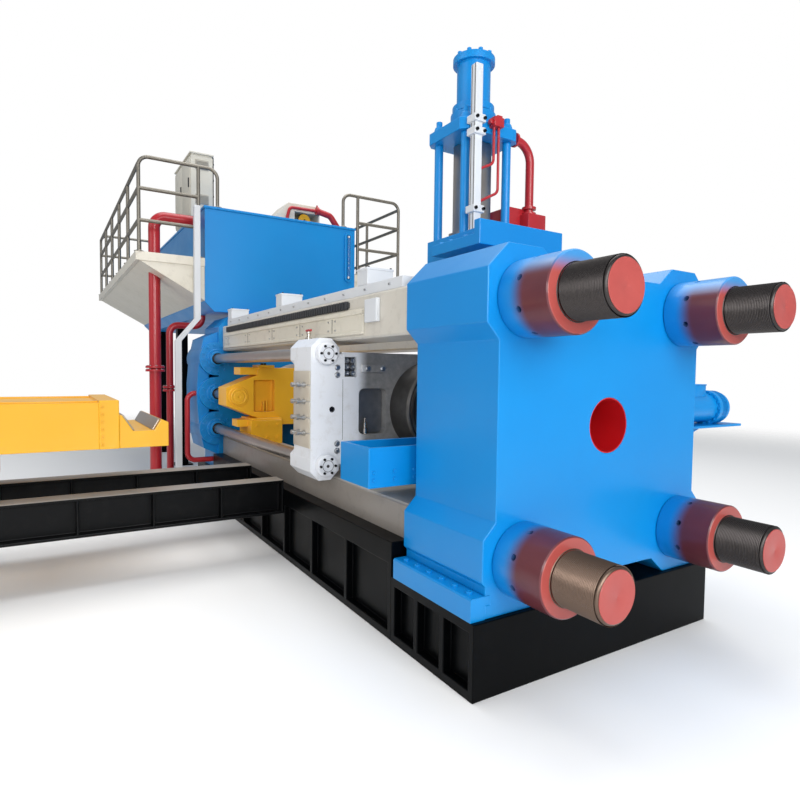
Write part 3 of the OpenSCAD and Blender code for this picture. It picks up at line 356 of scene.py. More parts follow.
# Black paint that wheels have worn off: a bare grey running surface on a black beam.
track_paint = paint("black_paint_with_worn_top", "#030405", "#08090b", 0.34, dust="#191817", coat=0.0, mirror=0.14)
layer_over(track_paint, "#96918a",
           share_along(track_paint.node_tree, "Z", track_top - 0.006, track_top - 0.001))

housing_low, housing_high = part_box("container_housing")
HOT_ZONE = (0.66, 0.56)
SOOT_MM = 60
# Enamel scorched by the hot container: pale at the sides, and mottled grey soot towards the middle.
housing_paint = paint("pale_enamel_scorched_near_the_container", "#e0e3e8", "#e9ebee", 0.36, dust="#c9c6c1")
tree = housing_paint.node_tree
place = add(tree, "ShaderNodeTexCoord")
axes = add(tree, "ShaderNodeSeparateXYZ", links={"Vector": place.outputs["Object"]})
distance = add(tree, "ShaderNodeMath", links={0: axes.outputs["Y"]}, operation="ABSOLUTE")
scorch = add(tree, "ShaderNodeMapRange", {"From Min": HOT_ZONE[0], "From Max": HOT_ZONE[1]},
             {"Value": distance.outputs["Value"]}, interpolation_type="SMOOTHSTEP")
soot = add(tree, "ShaderNodeTexNoise", {"Scale": per_metre(SOOT_MM), "Detail": 7.0, "Roughness": 0.7},
           {"Vector": place.outputs["Object"]})
mottle = add(tree, "ShaderNodeMixRGB", {"Color1": linear("#56575a"), "Color2": linear("#a3a19d")},
             {"Fac": soot.outputs["Fac"]})
under = tree.nodes["Principled BSDF"].inputs["Base Color"].links[0].from_socket
over = add(tree, "ShaderNodeMixRGB", links={"Fac": scorch.outputs["Result"], "Color1": under,
                                            "Color2": mottle.outputs["Color"]})
tree.links.new(over.outputs["Color"], tree.nodes["Principled BSDF"].inputs["Base Color"])
print("nut length", round(nut_length, 3))

# %% [markdown]
# A CAD node keeps its mesh, and only its material slot changes. Real edges are never perfectly sharp,
# so each node also gets four modifiers: Weld joins the corners that the file stores several times, Decimate
# takes out the lines inside flat faces, Bevel rounds the sharp edges by a few millimetres, and Weighted
# Normal keeps the flat faces flat.

# %% Dress the CAD nodes
finishes = {
    blue_enamel: ["front_platen", "platen_keepers", "rear_platen", "main_cylinder", "gland_rings", "cylinder_caps",
                  "die_slide", "die_motor", "shear_base", "shear_columns", "shear_plate", "shear_cylinder",
                  "tank_saddle", "tank_shell", "tank_roof", "level_gauge"],
    black_paint: ["base_front", "base_rear", "base_girders", "base_cross_beams", "tank_stand", "loader_legs"],
    track_paint: ["loader_track"],
    pale_enamel: ["rod_caps"],
    housing_paint: ["container_housing"],
    crosshead_lit_enamel: ["crosshead"],
    yellow_enamel: ["loader_carriage", "loader_arm", "loader_nose"],
    cream_paint: ["sleeve_cover", "decks", "valve_block"],
    cabinet_paint: ["control_cabinet"],
    white_coat: ["shear_gauge", "cable_duct", "cable_tray", "junction_boxes"],
    red_enamel: ["roof_pipe", "suction_pipes"],
    sleeve_paint: ["lower_sleeves"],
    upper_paint: ["upper_sleeves"],
    ground_rod: ["container_rods", "crosshead_rods", "main_ram", "shear_rod", "loader_plates"],
    tool_steel: ["container", "extrusion_stem", "die_stack"],
    cast_steel: ["holder_plates"],
    galvanised: ["railing_left", "railing_right", "railing_left_ends", "railing_right_ends"],
    nut_red: ["front_nuts"],
    plain_nut: ["rear_nuts"],
    thread_steel: ["tie_rods"],
}
EDGE = 0.005
SHARP = math.radians(38)
FLAT = math.radians(0.4)
WELD_WITHIN = 0.00005
for finish, names in finishes.items():
    for name in names:
        node = frame["nodes"][name]
        node.data.materials.clear()
        node.data.materials.append(finish)
        weld = node.modifiers.new("weld", "WELD")
        weld.merge_threshold = WELD_WITHIN
        flatten = node.modifiers.new("flat faces", "DECIMATE")
        flatten.decimate_type = "DISSOLVE"
        flatten.angle_limit = FLAT
        bevel = node.modifiers.new("edge", "BEVEL")
        bevel.width = EDGE
        bevel.segments = 2
        bevel.limit_method = "ANGLE"
        bevel.angle_limit = SHARP
        bevel.use_clamp_overlap = True
        normals = node.modifiers.new("normals", "WEIGHTED_NORMAL")
        normals.keep_sharp = True
print("dressed", sum(len(names) for names in finishes.values()), "of", len(frame["nodes"]))

# %% [markdown]
# The small pieces are made in code from simple forms. The two that are used most come first: an outline turned
# round an axis, and a block with rounded edges. Later cells add prisms and pipes. Each piece is shown with one
# finish and rides on one body of the frame, so that it moves with the part that carries it.

# %% Making small pieces
SMOOTH_BELOW = math.radians(35)


def show(name, form, finish, body="frame"):
    """Turns a bmesh into a piece with one finish that rides on a body of the frame."""
    bmesh.ops.recalc_face_normals(form, faces=form.faces[:])
    mesh = bpy.data.meshes.new(name)
    form.to_mesh(mesh)
    form.free()
    mesh.materials.append(finish)
    mesh.shade_smooth()
    mesh.set_sharp_from_angle(angle=SMOOTH_BELOW)
    made = bpy.data.objects.new(name, mesh)
    scene.collection.objects.link(made)
    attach(made, body)
    return made


def turn(form, outline, place, axis, steps=32, closed=False):
    """Turns an outline of radius and height round an axis through a place."""
    stand = Matrix.Translation(place) @ Vector((0, 0, 1)).rotation_difference(Vector(axis)).to_matrix().to_4x4()
    rings = []
    for radius, height in outline:
        count = steps if radius > 0 else 1
        angles = [2 * math.pi * i / steps for i in range(count)]
        rings.append([form.verts.new(stand @ Vector((radius * math.cos(a), radius * math.sin(a), height)))
                      for a in angles])
    pairs = list(zip(rings, rings[1:] + rings[:1])) if closed else list(zip(rings, rings[1:]))
    for low, high in pairs:
        for i in range(steps):
            j = (i + 1) % steps
            corners = [low[i % len(low)], low[j % len(low)], high[j % len(high)], high[i % len(high)]]
            corners = list(dict.fromkeys(corners))
            if len(corners) > 2:
                form.faces.new(corners)


def block(form, low, high, edge=0.003):
    """A box between two corners, with rounded edges."""
    low, high = Vector(low), Vector(high)
    size = Matrix.Diagonal((high - low).to_4d())
    size[3][3] = 1
    made = bmesh.ops.create_cube(form, size=1, matrix=Matrix.Translation((low + high) / 2) @ size)
    edges = list({e for v in made["verts"] for e in v.link_edges})
    bmesh.ops.bevel(form, geom=edges, offset=edge, segments=2, profile=0.5, affect="EDGES")


def sided(side, low, high):
    """Two corners given for the far side of the press, or their mirror image on the near side."""
    if side > 0:
        return low, high
    return (low[0], -high[1], low[2]), (high[0], -low[1], high[2])


def blocks(name, corners, finish, body="frame", edge=0.003):
    """One piece made of several blocks, each given by its two corners."""
    form = bmesh.new()
    for low, high in corners:
        block(form, low, high, edge)
    return show(name, form, finish, body)


def disc(radius, height):
    """Outline of a plain disc."""
    return [(0, 0), (radius, 0), (radius, height), (0, height)]


def ring(inner, outer, height):
    """Outline of a plain ring, which is turned closed."""
    return [(inner, 0), (outer, 0), (outer, height), (inner, height)]


def turned(name, finish, parts, body="frame"):
    """One piece made of turned outlines, each with its place, its axis, its steps and whether it is closed."""
    form = bmesh.new()
    for part in parts:
        turn(form, *part)
    return show(name, form, finish, body)


print("ways to make a piece: turned, blocks")

# %% [markdown]
# Bolts come in two kinds on this machine. Hexagon heads sit on a washer, and cap screws have a round head with
# a socket. Both are short outlines turned with 6 or 18 sides, so a whole row of bolts becomes one light mesh.

# %% Bolts
def hex_bolt(form, place, axis, d):
    """A hexagon head on a round washer, for a screw of diameter d."""
    turn(form, disc(1.15 * d, 0.15 * d), place, axis, 20)
    turn(form, [(0, 0.15 * d), (0.92 * d, 0.15 * d), (0.92 * d, 0.7 * d), (0.8 * d, 0.82 * d), (0, 0.82 * d)],
         place, axis, 6)


def cap_screw(form, place, axis, d):
    """A round head with a socket, for a screw of diameter d."""
    turn(form, [(0, 0), (0.78 * d, 0), (0.78 * d, 0.9 * d), (0.7 * d, d), (0.46 * d, d), (0.42 * d, 0.5 * d),
                (0, 0.5 * d)], place, axis, 18)


def screws(name, kind, places, axis, d, finish, body="frame"):
    """One piece made of a screw of this kind at each place."""
    form = bmesh.new()
    for place in places:
        kind(form, place, axis, d)
    return show(name, form, finish, body)


def ring_of(centre, radius, count, start=0.0):
    """Places round a circle that faces along X."""
    angles = [start + 2 * math.pi * i / count for i in range(count)]
    return [Vector(centre) + radius * Vector((0, math.cos(a), math.sin(a))) for a in angles]


def spread(first, last, count):
    """Evenly spaced numbers from first to last."""
    return [first + (last - first) * i / (count - 1) for i in range(count)]


ALONG_X, ALONG_Y, ALONG_Z = (1, 0, 0), (0, 1, 0), (0, 0, 1)
BACK_X, NEAR_Y = (-1, 0, 0), (0, -1, 0)
SIDES = (-1, 1)
print("bolt kinds: hexagon head, cap screw")

# %% [markdown]
# The tie rods end in long threaded stubs. The thread is real geometry: a root line and a crest line wind round
# the bar together, and faces join each line to the next turn. On the real bar the pitch is about 8 mm,
# which just shows at this distance. The rod's end is painted red and has a centre hole from the lathe.

# %% Threads and rod ends
ROD_R = 0.128
THREAD_PITCH = 0.008
THREAD_ROOT = ROD_R + 0.0004
THREAD_CREST = ROD_R + 0.0038
rod_low, rod_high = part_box("tie_rods")
rear_nut_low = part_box("rear_nuts")[0]
AXIS = (rod_low.z + rod_high.z) / 2
rod_y = rod_high.y - ROD_R
rod_z = rod_high.z - ROD_R - AXIS
rod_places = [(side * rod_y, AXIS + high * rod_z) for side in SIDES for high in SIDES]


def thread(form, start, stop, y, z, steps=72):
    """A thread wound along X from start to stop round a bar at y and z."""
    count = int((stop - start) / THREAD_PITCH * steps)
    roots, crests = [], []
    for i in range(count + 1):
        a = 2 * math.pi * i / steps
        x = start + THREAD_PITCH * i / steps
        roots.append(form.verts.new((x, y + THREAD_ROOT * math.cos(a), z + THREAD_ROOT * math.sin(a))))
        top = min(x + THREAD_PITCH / 2, stop)
        crests.append(form.verts.new((top, y + THREAD_CREST * math.cos(a), z + THREAD_CREST * math.sin(a))))
    for i in range(count):
        form.faces.new((roots[i], roots[i + 1], crests[i + 1], crests[i]))
        if i + steps < count:
            form.faces.new((crests[i], crests[i + 1], roots[i + steps + 1], roots[i + steps]))


CHAMFER = 0.010
THREAD_GAP = 0.001
for name, start, stop in (("front_rod_threads", nut_high.x + THREAD_GAP, rod_high.x - CHAMFER),
                          ("rear_rod_threads", rod_low.x + CHAMFER, rear_nut_low.x - THREAD_GAP)):
    form = bmesh.new()
    for y, z in rod_places:
        thread(form, start, stop, y, z)
    show(name, form, thread_steel)

DISC_R = ROD_R - CHAMFER - 0.002
end_disc = [(0, 0.0004), (0.005, 0.003), (DISC_R - 0.002, 0.003), (DISC_R, 0.001), (DISC_R, 0), (0, 0)]
turned("rod_end_faces", end_red, [(end_disc, (x, y, z), axis, 64) for y, z in rod_places
                                  for x, axis in ((rod_high.x, ALONG_X), (rod_low.x, BACK_X))])
collar = [(ROD_R + 0.0042, 0), (ROD_R + 0.010, 0), (ROD_R + 0.007, 0.003), (ROD_R + 0.0042, 0.003)]
turned("nut_bore_edges", thread_steel, [(collar, (nut_high.x, y, z), ALONG_X, 64, True) for y, z in rod_places])
print("threads", round(nut_high.x, 3), "to", round(rod_high.x, 3))

# %% [markdown]
# The product leaves through a round hole in the front platen, which is lined with a red tube. Clamp bars
# beside the platen's feet and the plate at the end of the die slide are held by rows of screws. Their heads
# are painted over in blue, so only their shape shows.

# %% Exit liner, clamp bars and die plate
exit_mount = next(m for m in frame["record"]["mounts"] if m["name"] == "product_exit")
exit_r = exit_mount["dims"]["r_mm"] / 1000
LINER_GAP, LINER_WALL = 0.0006, 0.006
LINER_IN, LINER_SHORT = 0.002, 0.006
platen_low, platen_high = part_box("front_platen")
length = platen_high.x - platen_low.x - LINER_SHORT
liner = [(exit_r - LINER_GAP, 0), (exit_r - LINER_GAP, length), (exit_r - LINER_WALL, length),
         (exit_r - LINER_WALL, 0)]
turned("exit_liner", liner_red, [(liner, (platen_low.x + LINER_IN, 0, AXIS), ALONG_X, 96, True)])

BAR_MIDDLE, BAR_END, HEAD_SUNK = 0.045, 0.07, 0.010
bar_low, bar_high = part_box("platen_keepers")
screws("clamp_bar_screws", cap_screw,
       [(x, side * (bar_high.y - BAR_MIDDLE), bar_high.z - HEAD_SUNK)
        for side in SIDES for x in spread(bar_low.x + BAR_END, bar_high.x - BAR_END, 6)],
       ALONG_Z, 0.022, blue_enamel)

DIE_PLATE_SET = 0.09
DIE_SCREW_Y, DIE_SCREW_Z = (1.045, 0.905, 0.765), (0.048, 0.094)
die_low, die_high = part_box("die_slide")
screws("die_plate_screws", hex_bolt,
       [(die_high.x - DIE_PLATE_SET, side * y, die_low.z + z)
        for side in SIDES for y in DIE_SCREW_Y for z in DIE_SCREW_Z], ALONG_X, 0.013, blue_enamel)
print("exit radius", exit_r)

# %% [markdown]
# The container sits in a heavy housing that slides along the press. Round caps close the ends of its four
# rods, each with a ring of screws. Clamp screws sit in sunken pockets beside the caps, and the side of
# each arm carries a stack of bolted blocks with pairs of lubrication fittings between them.

# %% Container housing
CONTAINER = "container_body"
CAP_R = 0.081
cap_low, cap_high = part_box("rod_caps")
cap_y = cap_high.y - CAP_R
cap_z = cap_high.z - CAP_R - AXIS
housing_face = cap_low.x
corners_of_press = [(side, high) for side in SIDES for high in SIDES]
cap_places = [(cap_high.x, side * cap_y, AXIS + high * cap_z) for side, high in corners_of_press]
screws("rod_cap_screws", cap_screw, [p for place in cap_places for p in ring_of(place, 0.058, 6)],
       ALONG_X, 0.012, dark_screw, CONTAINER)
cap_centre = [(0, 0), (0.012, 0), (0.010, 0.003), (0, 0.003)]
turned("rod_cap_rings", tool_steel,
       [(cap_centre, place, ALONG_X, 20) for place in cap_places]
       + [(ring(0.040, 0.043, 0.002), place, ALONG_X, 48, True) for place in cap_places], CONTAINER)

ARM_OUT, SHIM_T = 1.030, 0.010
FITTING_HEIGHTS = (0.179, 0.057, -0.060, -0.174)
fitting = [(0, 0), (0.019, 0), (0.019, 0.020), (0.013, 0.022), (0.013, 0.046), (0.017, 0.048), (0.017, 0.066),
           (0.010, 0.070), (0, 0.070)]
turned("lubrication_fittings", zinc,
       [(fitting, (housing_face - back, side * (ARM_OUT + SHIM_T), AXIS + z), (0, side, 0), 20)
        for side in SIDES for back in (0.19, 0.09) for z in FITTING_HEIGHTS], CONTAINER)

STACK_HALF, STACK_GAP = 0.285, 0.003
edges = [STACK_HALF] + list(FITTING_HEIGHTS) + [-STACK_HALF]
blocks("arm_side_blocks",
       [sided(side, (housing_face - 0.315, ARM_OUT, AXIS + low + STACK_GAP),
              (housing_face - 0.006, ARM_OUT + SHIM_T, AXIS + high - STACK_GAP))
        for side in SIDES for high, low in zip(edges, edges[1:])], warm_enamel, CONTAINER)

PLATE_T = 0.012
POCKET_DEEP, POCKET_MIDDLE, POCKET_HALF = 0.045, 0.315, 0.071
POCKET_Y, POCKET_Z = (0.685, 0.735), (0.268, 0.315, 0.362)
pocket_x = housing_face - POCKET_DEEP
screws("clamp_screws", cap_screw,
       [(pocket_x + PLATE_T, side * y, AXIS + high * z) for side, high in corners_of_press
        for y in POCKET_Y for z in POCKET_Z], ALONG_X, 0.024, zinc, CONTAINER)
blocks("clamp_plates",
       [sided(side, (pocket_x, 0.664, AXIS + high * POCKET_MIDDLE - POCKET_HALF),
              (pocket_x + PLATE_T, 0.756, AXIS + high * POCKET_MIDDLE + POCKET_HALF))
        for side, high in corners_of_press], tool_steel, CONTAINER)
FACE_Y, FACE_Z = 0.820, (0.256, 0.310)
screws("face_screws", hex_bolt,
       [(housing_face, side * FACE_Y, AXIS + high * z) for side, high in corners_of_press for z in FACE_Z],
       ALONG_X, 0.020, zinc, CONTAINER)
LEDGE_Y, LEDGE_Z = (0.45, 0.58), 0.306
screws("ledge_screws", hex_bolt, [(housing_high.x, side * y, AXIS + LEDGE_Z) for side in SIDES for y in LEDGE_Y],
       ALONG_X, 0.020, zinc, CONTAINER)
sensor = [(0, 0), (0.024, 0), (0.024, 0.040), (0.017, 0.044), (0.017, 0.085), (0.010, 0.090), (0.010, 0.120),
          (0, 0.124)]
turned("thermocouple_fittings", bright_edge,
       [(sensor, (housing_face - 0.040, side * 0.565, AXIS - 0.194), ALONG_Z, 24) for side in SIDES], CONTAINER)

EYE_Y, EYE_R = 0.862, 0.0155
eye_rim = [(0.016, 0), (0.022, 0), (0.020, 0.004), (0.016, 0.002)]
eye_floor = [(0, 0.0006), (EYE_R, 0.0006), (EYE_R, 0), (0, 0)]
eye_places = [(housing_face, side * EYE_Y, AXIS) for side in SIDES]
turned("eyelets", dark_screw, [(eye_rim, place, ALONG_X, 32, True) for place in eye_places]
       + [(eye_floor, place, ALONG_X, 32) for place in eye_places], CONTAINER)
SEAM_Y, SEAM_HALF = 0.775, 0.0015
blocks("housing_seams",
       [((housing_face - 0.002, side * SEAM_Y - SEAM_HALF, AXIS - 0.228),
         (housing_face + 0.0012, side * SEAM_Y + SEAM_HALF, AXIS + 0.222)) for side in SIDES],
       tool_steel, CONTAINER, 0.0004)
print("housing face at", round(housing_face, 3))

# %% [markdown]
# The container's end carries a few ring steps, which come from turning: a wear ring round the bore and a
# groove near its rim. On top of the near upper lobe stands a small stop cock with a red handle.

# %% Container face and stop cock
STEP_H = 0.003
box_low, box_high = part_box("container")
outer_r = (box_high.y - box_low.y) / 2
turned("container_face_rings", ground_rod,
       [(ring(r, r + wide, STEP_H), (box_high.x, 0, AXIS), ALONG_X, 72, True)
        for r, wide in ((0.12, 0.05), (0.235, 0.012), (outer_r - 0.05, 0.02))], CONTAINER)

LOBE_TOP = 0.5225
cock = Vector((housing_low.x + 0.09, -cap_y, AXIS + LOBE_TOP))
cock_body = [(0, 0), (0.026, 0), (0.026, 0.016), (0.014, 0.020), (0.014, 0.046), (0.020, 0.050), (0.020, 0.062),
             (0, 0.064)]
turned("stop_cock", bright_edge, [(cock_body, cock, ALONG_Z, 24)], CONTAINER)
lever = [(0, 0), (0.009, 0.003), (0.009, 0.09), (0, 0.093)]
spindle = [(0, 0), (0.008, 0), (0.008, 0.022), (0, 0.024)]
turned("stop_cock_handle", red_enamel, [(lever, cock + Vector((-0.045, 0, 0.072)), ALONG_X, 16),
                                        (spindle, cock + Vector((0, 0, 0.058)), ALONG_Z, 16)], CONTAINER)
print("container radius", round(outer_r, 3))

# %% [markdown]
# The yellow crosshead pushes the stem. It is a thick plate with two tapered ears, which end in round caps over
# the side rods, and it has a sunken pocket in each half, feet on the lower sleeves and guides below the upper
# ones. Outlines are run along the press into prisms, and a Boolean cuts the pockets, as a mill would. The frame's
# crosshead, ram, stem and side rods have plainer forms here, so these pieces take their places.

# %% Crosshead, ram and stem
def prism(form, outline, start, stop):
    """An outline of places across the press, measured from its axis, run along X from start to stop."""
    ends = [[form.verts.new((x, y, AXIS + z)) for y, z in outline] for x in (start, stop)]
    form.faces.new(ends[0][::-1])
    form.faces.new(ends[1])
    for i in range(len(outline)):
        j = (i + 1) % len(outline)
        form.faces.new((ends[0][i], ends[0][j], ends[1][j], ends[1][i]))


def as_object(form):
    """A bare object that holds a closed form for a while."""
    bmesh.ops.recalc_face_normals(form, faces=form.faces[:])
    mesh = bpy.data.meshes.new("form")
    form.to_mesh(mesh)
    form.free()
    made = bpy.data.objects.new("form", mesh)
    scene.collection.objects.link(made)
    return made


def carve(form, cutter):
    """A form less what the cutter covers."""
    body, tool = as_object(form), as_object(cutter)
    cut = body.modifiers.new("cut", "BOOLEAN")
    cut.object = tool
    cut.solver = "EXACT"
    bpy.context.view_layer.update()
    ready = body.evaluated_get(bpy.context.evaluated_depsgraph_get())
    left = bmesh.new()
    left.from_mesh(ready.to_mesh())
    ready.to_mesh_clear()
    for made in (body, tool):
        mesh = made.data
        bpy.data.objects.remove(made)
        bpy.data.meshes.remove(mesh)
    return left


def mirrored(half):
    """A half outline and its mirror image, in order round the whole."""
    return half + [(-y, z) for y, z in reversed(half)]


def soften(made, width=0.005):
    """Rounds the sharp edges of a piece with modifiers, as on the frame's own nodes."""
    bevel = made.modifiers.new("edge", "BEVEL")
    bevel.width = width
    bevel.segments = 2
    bevel.limit_method = "ANGLE"
    bevel.angle_limit = SHARP
    normals = made.modifiers.new("normals", "WEIGHTED_NORMAL")
    normals.keep_sharp = True
    return made


HEAD = "crosshead_body"
HEAD_X, HEAD_BACK = -3.972, -4.702
HEAD_T, HALF_H, FOOT_LOW = 0.310, 0.310, 0.5037
POCKET_FLOOR, POCKET_LOW = 0.090, 0.166
SIDE_Y = cap_y
head = Vector((HEAD_X, 0, AXIS))
plate = mirrored([(0.681, -HALF_H), (0.711, -0.280), (0.711, -0.227), (0.777, -0.207), (1.046, -0.094),
                  (1.046, 0.094), (0.777, 0.207), (0.711, 0.227), (0.711, 0.280), (0.681, HALF_H)])
form, pockets = bmesh.new(), bmesh.new()
prism(form, plate, HEAD_X - HEAD_T, HEAD_X)
for side in SIDES:
    block(pockets, *sided(side, head + Vector((-POCKET_FLOOR, 0.523, -POCKET_LOW)),
                          head + Vector((0.05, 0.753, 0.177))), 0.012)
form = carve(form, pockets)
prism(form, mirrored([(0.470, -HALF_H), (0.470, HALF_H)]), HEAD_BACK, HEAD_X - HEAD_T + 0.002)

# Corners, from the middle of the plate's front: foot, foot's pad, lower guide, upper guide and its pad.
shoes = [((-HEAD_T, 0.473, -FOOT_LOW), (0.110, 0.815, -0.248)), ((-HEAD_T, 0.473, -0.250), (0.092, 0.797, -0.230)),
         ((-0.200, 0.810, -0.320), (-0.002, 0.930, -0.245)), ((-0.250, 0.560, 0.232), (-0.018, 0.895, 0.312)),
         ((-0.180, 0.532, 0.310), (0.024, 0.711, 0.338))]
ear_cap = [(0, -0.01), (0.088, -0.01), (0.088, 0.027), (0.083, 0.032), (0.066, 0.032), (0.064, 0.027),
           (0.058, 0.027), (0.056, 0.032), (0.014, 0.032), (0.010, 0.024), (0, 0.024)]
ear_ring = [(0.088, 0), (0.108, 0), (0.108, 0.008), (0.104, 0.012), (0.088, 0.012)]
for side in SIDES:
    for low, high in shoes:
        block(form, *sided(side, head + Vector(low), head + Vector(high)), 0.004)
    turn(form, ear_cap, (HEAD_X, side * SIDE_Y, AXIS), ALONG_X, 72)
    turn(form, ear_ring, (HEAD_X - 0.001, side * SIDE_Y, AXIS), ALONG_X, 72, closed=True)
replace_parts(soften(show("crosshead_plate", form, crosshead_lit_enamel, HEAD)), "crosshead")

RIB_HALF, RIB_DEEP = 0.007, 0.06
pocket_floor = HEAD_X - POCKET_FLOOR
blocks("crosshead_ribs",
       [((pocket_floor, side * y - RIB_HALF, AXIS - POCKET_LOW),
         (pocket_floor + RIB_DEEP, side * y + RIB_HALF, AXIS + top))
        for side in SIDES for y, top in ((0.600, -0.05), (0.632, -0.06))], crosshead_lit_enamel, HEAD)
screws("guide_shoe_screws", hex_bolt,
       [(HEAD_X + 0.110, side * y, AXIS - z) for side in SIDES for y in (0.53, 0.64, 0.75) for z in (0.30, 0.43)],
       ALONG_X, 0.018, crosshead_lit_enamel, HEAD)
screws("guide_pad_screws", cap_screw,
       [(HEAD_X - x, side * 0.622, AXIS + 0.338) for side in SIDES for x in (0.03, 0.13)],
       ALONG_Z, 0.020, dark_screw, HEAD)

STEM_R, HOLDER_R, FLANGE_R, FLANGE_T = 0.089, 0.112, 0.165, 0.050
STEM_EDGE = 0.006
stem_low, stem_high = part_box("extrusion_stem")
step_at, tip_at = stem_low.x - HEAD_X, stem_high.x - HEAD_X
stem = [(0, 0), (FLANGE_R, 0), (FLANGE_R, FLANGE_T), (0.118, FLANGE_T), (HOLDER_R, 0.080),
        (HOLDER_R, step_at - 0.03), (STEM_R, step_at), (STEM_R, tip_at - STEM_EDGE), (STEM_R - STEM_EDGE, tip_at),
        (0, tip_at)]
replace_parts(turned("stem_and_holder", tool_steel, [(stem, head, ALONG_X, 64)], HEAD), "extrusion_stem")
screws("stem_flange_screws", cap_screw, ring_of((HEAD_X + FLANGE_T, 0, AXIS), 0.142, 10),
       ALONG_X, 0.018, dark_screw, HEAD)

COLLAR_R, COLLAR_T, LAP = 0.36, 0.04, 0.01
ram_low, ram_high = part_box("main_ram")
ram_r = (ram_high.y - ram_low.y) / 2
ram_collar = [(ram_r, 0), (COLLAR_R, 0), (COLLAR_R, 0.035), (0.35, COLLAR_T), (ram_r, COLLAR_T)]
ram = turned("main_ram_and_collar", ground_rod,
             [(disc(ram_r, HEAD_BACK + LAP - ram_low.x), (ram_low.x, 0, AXIS), ALONG_X, 96),
              (ram_collar, (HEAD_BACK - COLLAR_T, 0, AXIS), ALONG_X, 96, True)], HEAD)
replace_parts(ram, "main_ram")
NUT_R, NUT_T = 0.082, 0.05
rods_low, rods_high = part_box("crosshead_rods")
rod_r = (rods_high.z - rods_low.z) / 2
rod_run = HEAD_X - HEAD_T + LAP - rods_low.x
side_rods = turned("crosshead_side_rods", ground_rod,
                   [(disc(rod_r, rod_run), (rods_low.x, side * SIDE_Y, AXIS), ALONG_X, 64) for side in SIDES]
                   + [(ring(rod_r, NUT_R, NUT_T), (HEAD_X - HEAD_T - NUT_T, side * SIDE_Y, AXIS), ALONG_X, 6, True)
                      for side in SIDES], HEAD)
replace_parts(side_rods, "crosshead_rods")
print("crosshead face at", HEAD_X)

# %% [markdown]
# The rear platen carries the side cylinders in bosses, between two bowed wings. Each cylinder leaves the platen
# through a bolted gland with a narrower hub. Rings of screws hold the glands and the cylinders, and a
# wiper ring stands in front of each hub.

# %% Rear platen wings, glands and cylinder heads
WING_STEP = 0.060
GLAND_T, HUB_T = 0.027, 0.060
rear_low, rear_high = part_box("rear_platen")
gland_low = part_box("gland_rings")[0]
boss_places = [(side * SIDE_Y, AXIS + z) for side in SIDES for z in (-cap_z, 0, cap_z)]
gland_places = [(gland_low.x, y, z) for y, z in boss_places]
wing = [(0.870, -0.740), (1.052, -0.650), (1.104, -0.410), (1.128, -0.100), (1.128, 0.100), (1.104, 0.410),
        (1.052, 0.650), (0.870, 0.740)]
form, bores = bmesh.new(), bmesh.new()
for side in SIDES:
    prism(form, [(side * y, z) for y, z in wing], rear_low.x + WING_STEP, rear_high.x - WING_STEP)
rod_bore = [(0, -0.8), (0.060, -0.8), (0.060, 0.1), (0, 0.1)]
for place in gland_places:
    turn(bores, rod_bore, place, ALONG_X, 48)
soften(show("rear_platen_wings", carve(form, bores), blue_enamel))

gland = [(0.0525, 0), (0.115, 0), (0.115, 0.021), (0.109, GLAND_T), (0.085, GLAND_T), (0.085, 0.054), (0.079, HUB_T),
         (0.0525, HUB_T)]
glands = turned("stepped_glands", blue_enamel, [(gland, place, ALONG_X, 64, True) for place in gland_places])
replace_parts(glands, "gland_rings")
screws("gland_screws", cap_screw,
       [p + Vector((GLAND_T, 0, 0)) for place in gland_places for p in ring_of(place, 0.100, 10)],
       ALONG_X, 0.012, blue_enamel)
screws("cylinder_screws", hex_bolt, [p for place in gland_places for p in ring_of(place, 0.160, 12, 0.13)],
       ALONG_X, 0.017, blue_enamel)
wiper = [(0.0530, 0), (0.0530, 0.010), (0.062, 0.010), (0.066, 0.005), (0.066, 0)]
turned("rod_wipers", dark_screw,
       [(wiper, (gland_low.x + HUB_T, y, z), ALONG_X, 48, True) for y, z in boss_places])
lid_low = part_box("cylinder_caps")[0]
main_low, main_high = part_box("main_cylinder")
screws("rear_lid_screws", cap_screw, [p for y, z in boss_places for p in ring_of((lid_low.x, y, z), 0.088, 8)],
       BACK_X, 0.016, blue_enamel)
screws("main_cylinder_screws", hex_bolt, ring_of((main_high.x - 0.120, 0, AXIS), 0.490, 24), BACK_X, 0.024,
       blue_enamel)
seat = [(0, 0), (0.20, 0), (0.20, 0.03), (0.17, 0.03), (0.16, 0.012), (0, 0.012)]
turned("prefill_seat", blue_enamel, [(seat, (main_low.x, 0, AXIS), BACK_X, 64)])
print("glands", len(gland_places))

# %% [markdown]
# A cover runs along the near upper sleeve. It is made of panels that meet in narrow seams, held by small
# screws, and a row of black plastic links lies on the sleeve above it, a dark band between the cover and the tray.
# The boxes on the tray have lids with a screw in each corner.

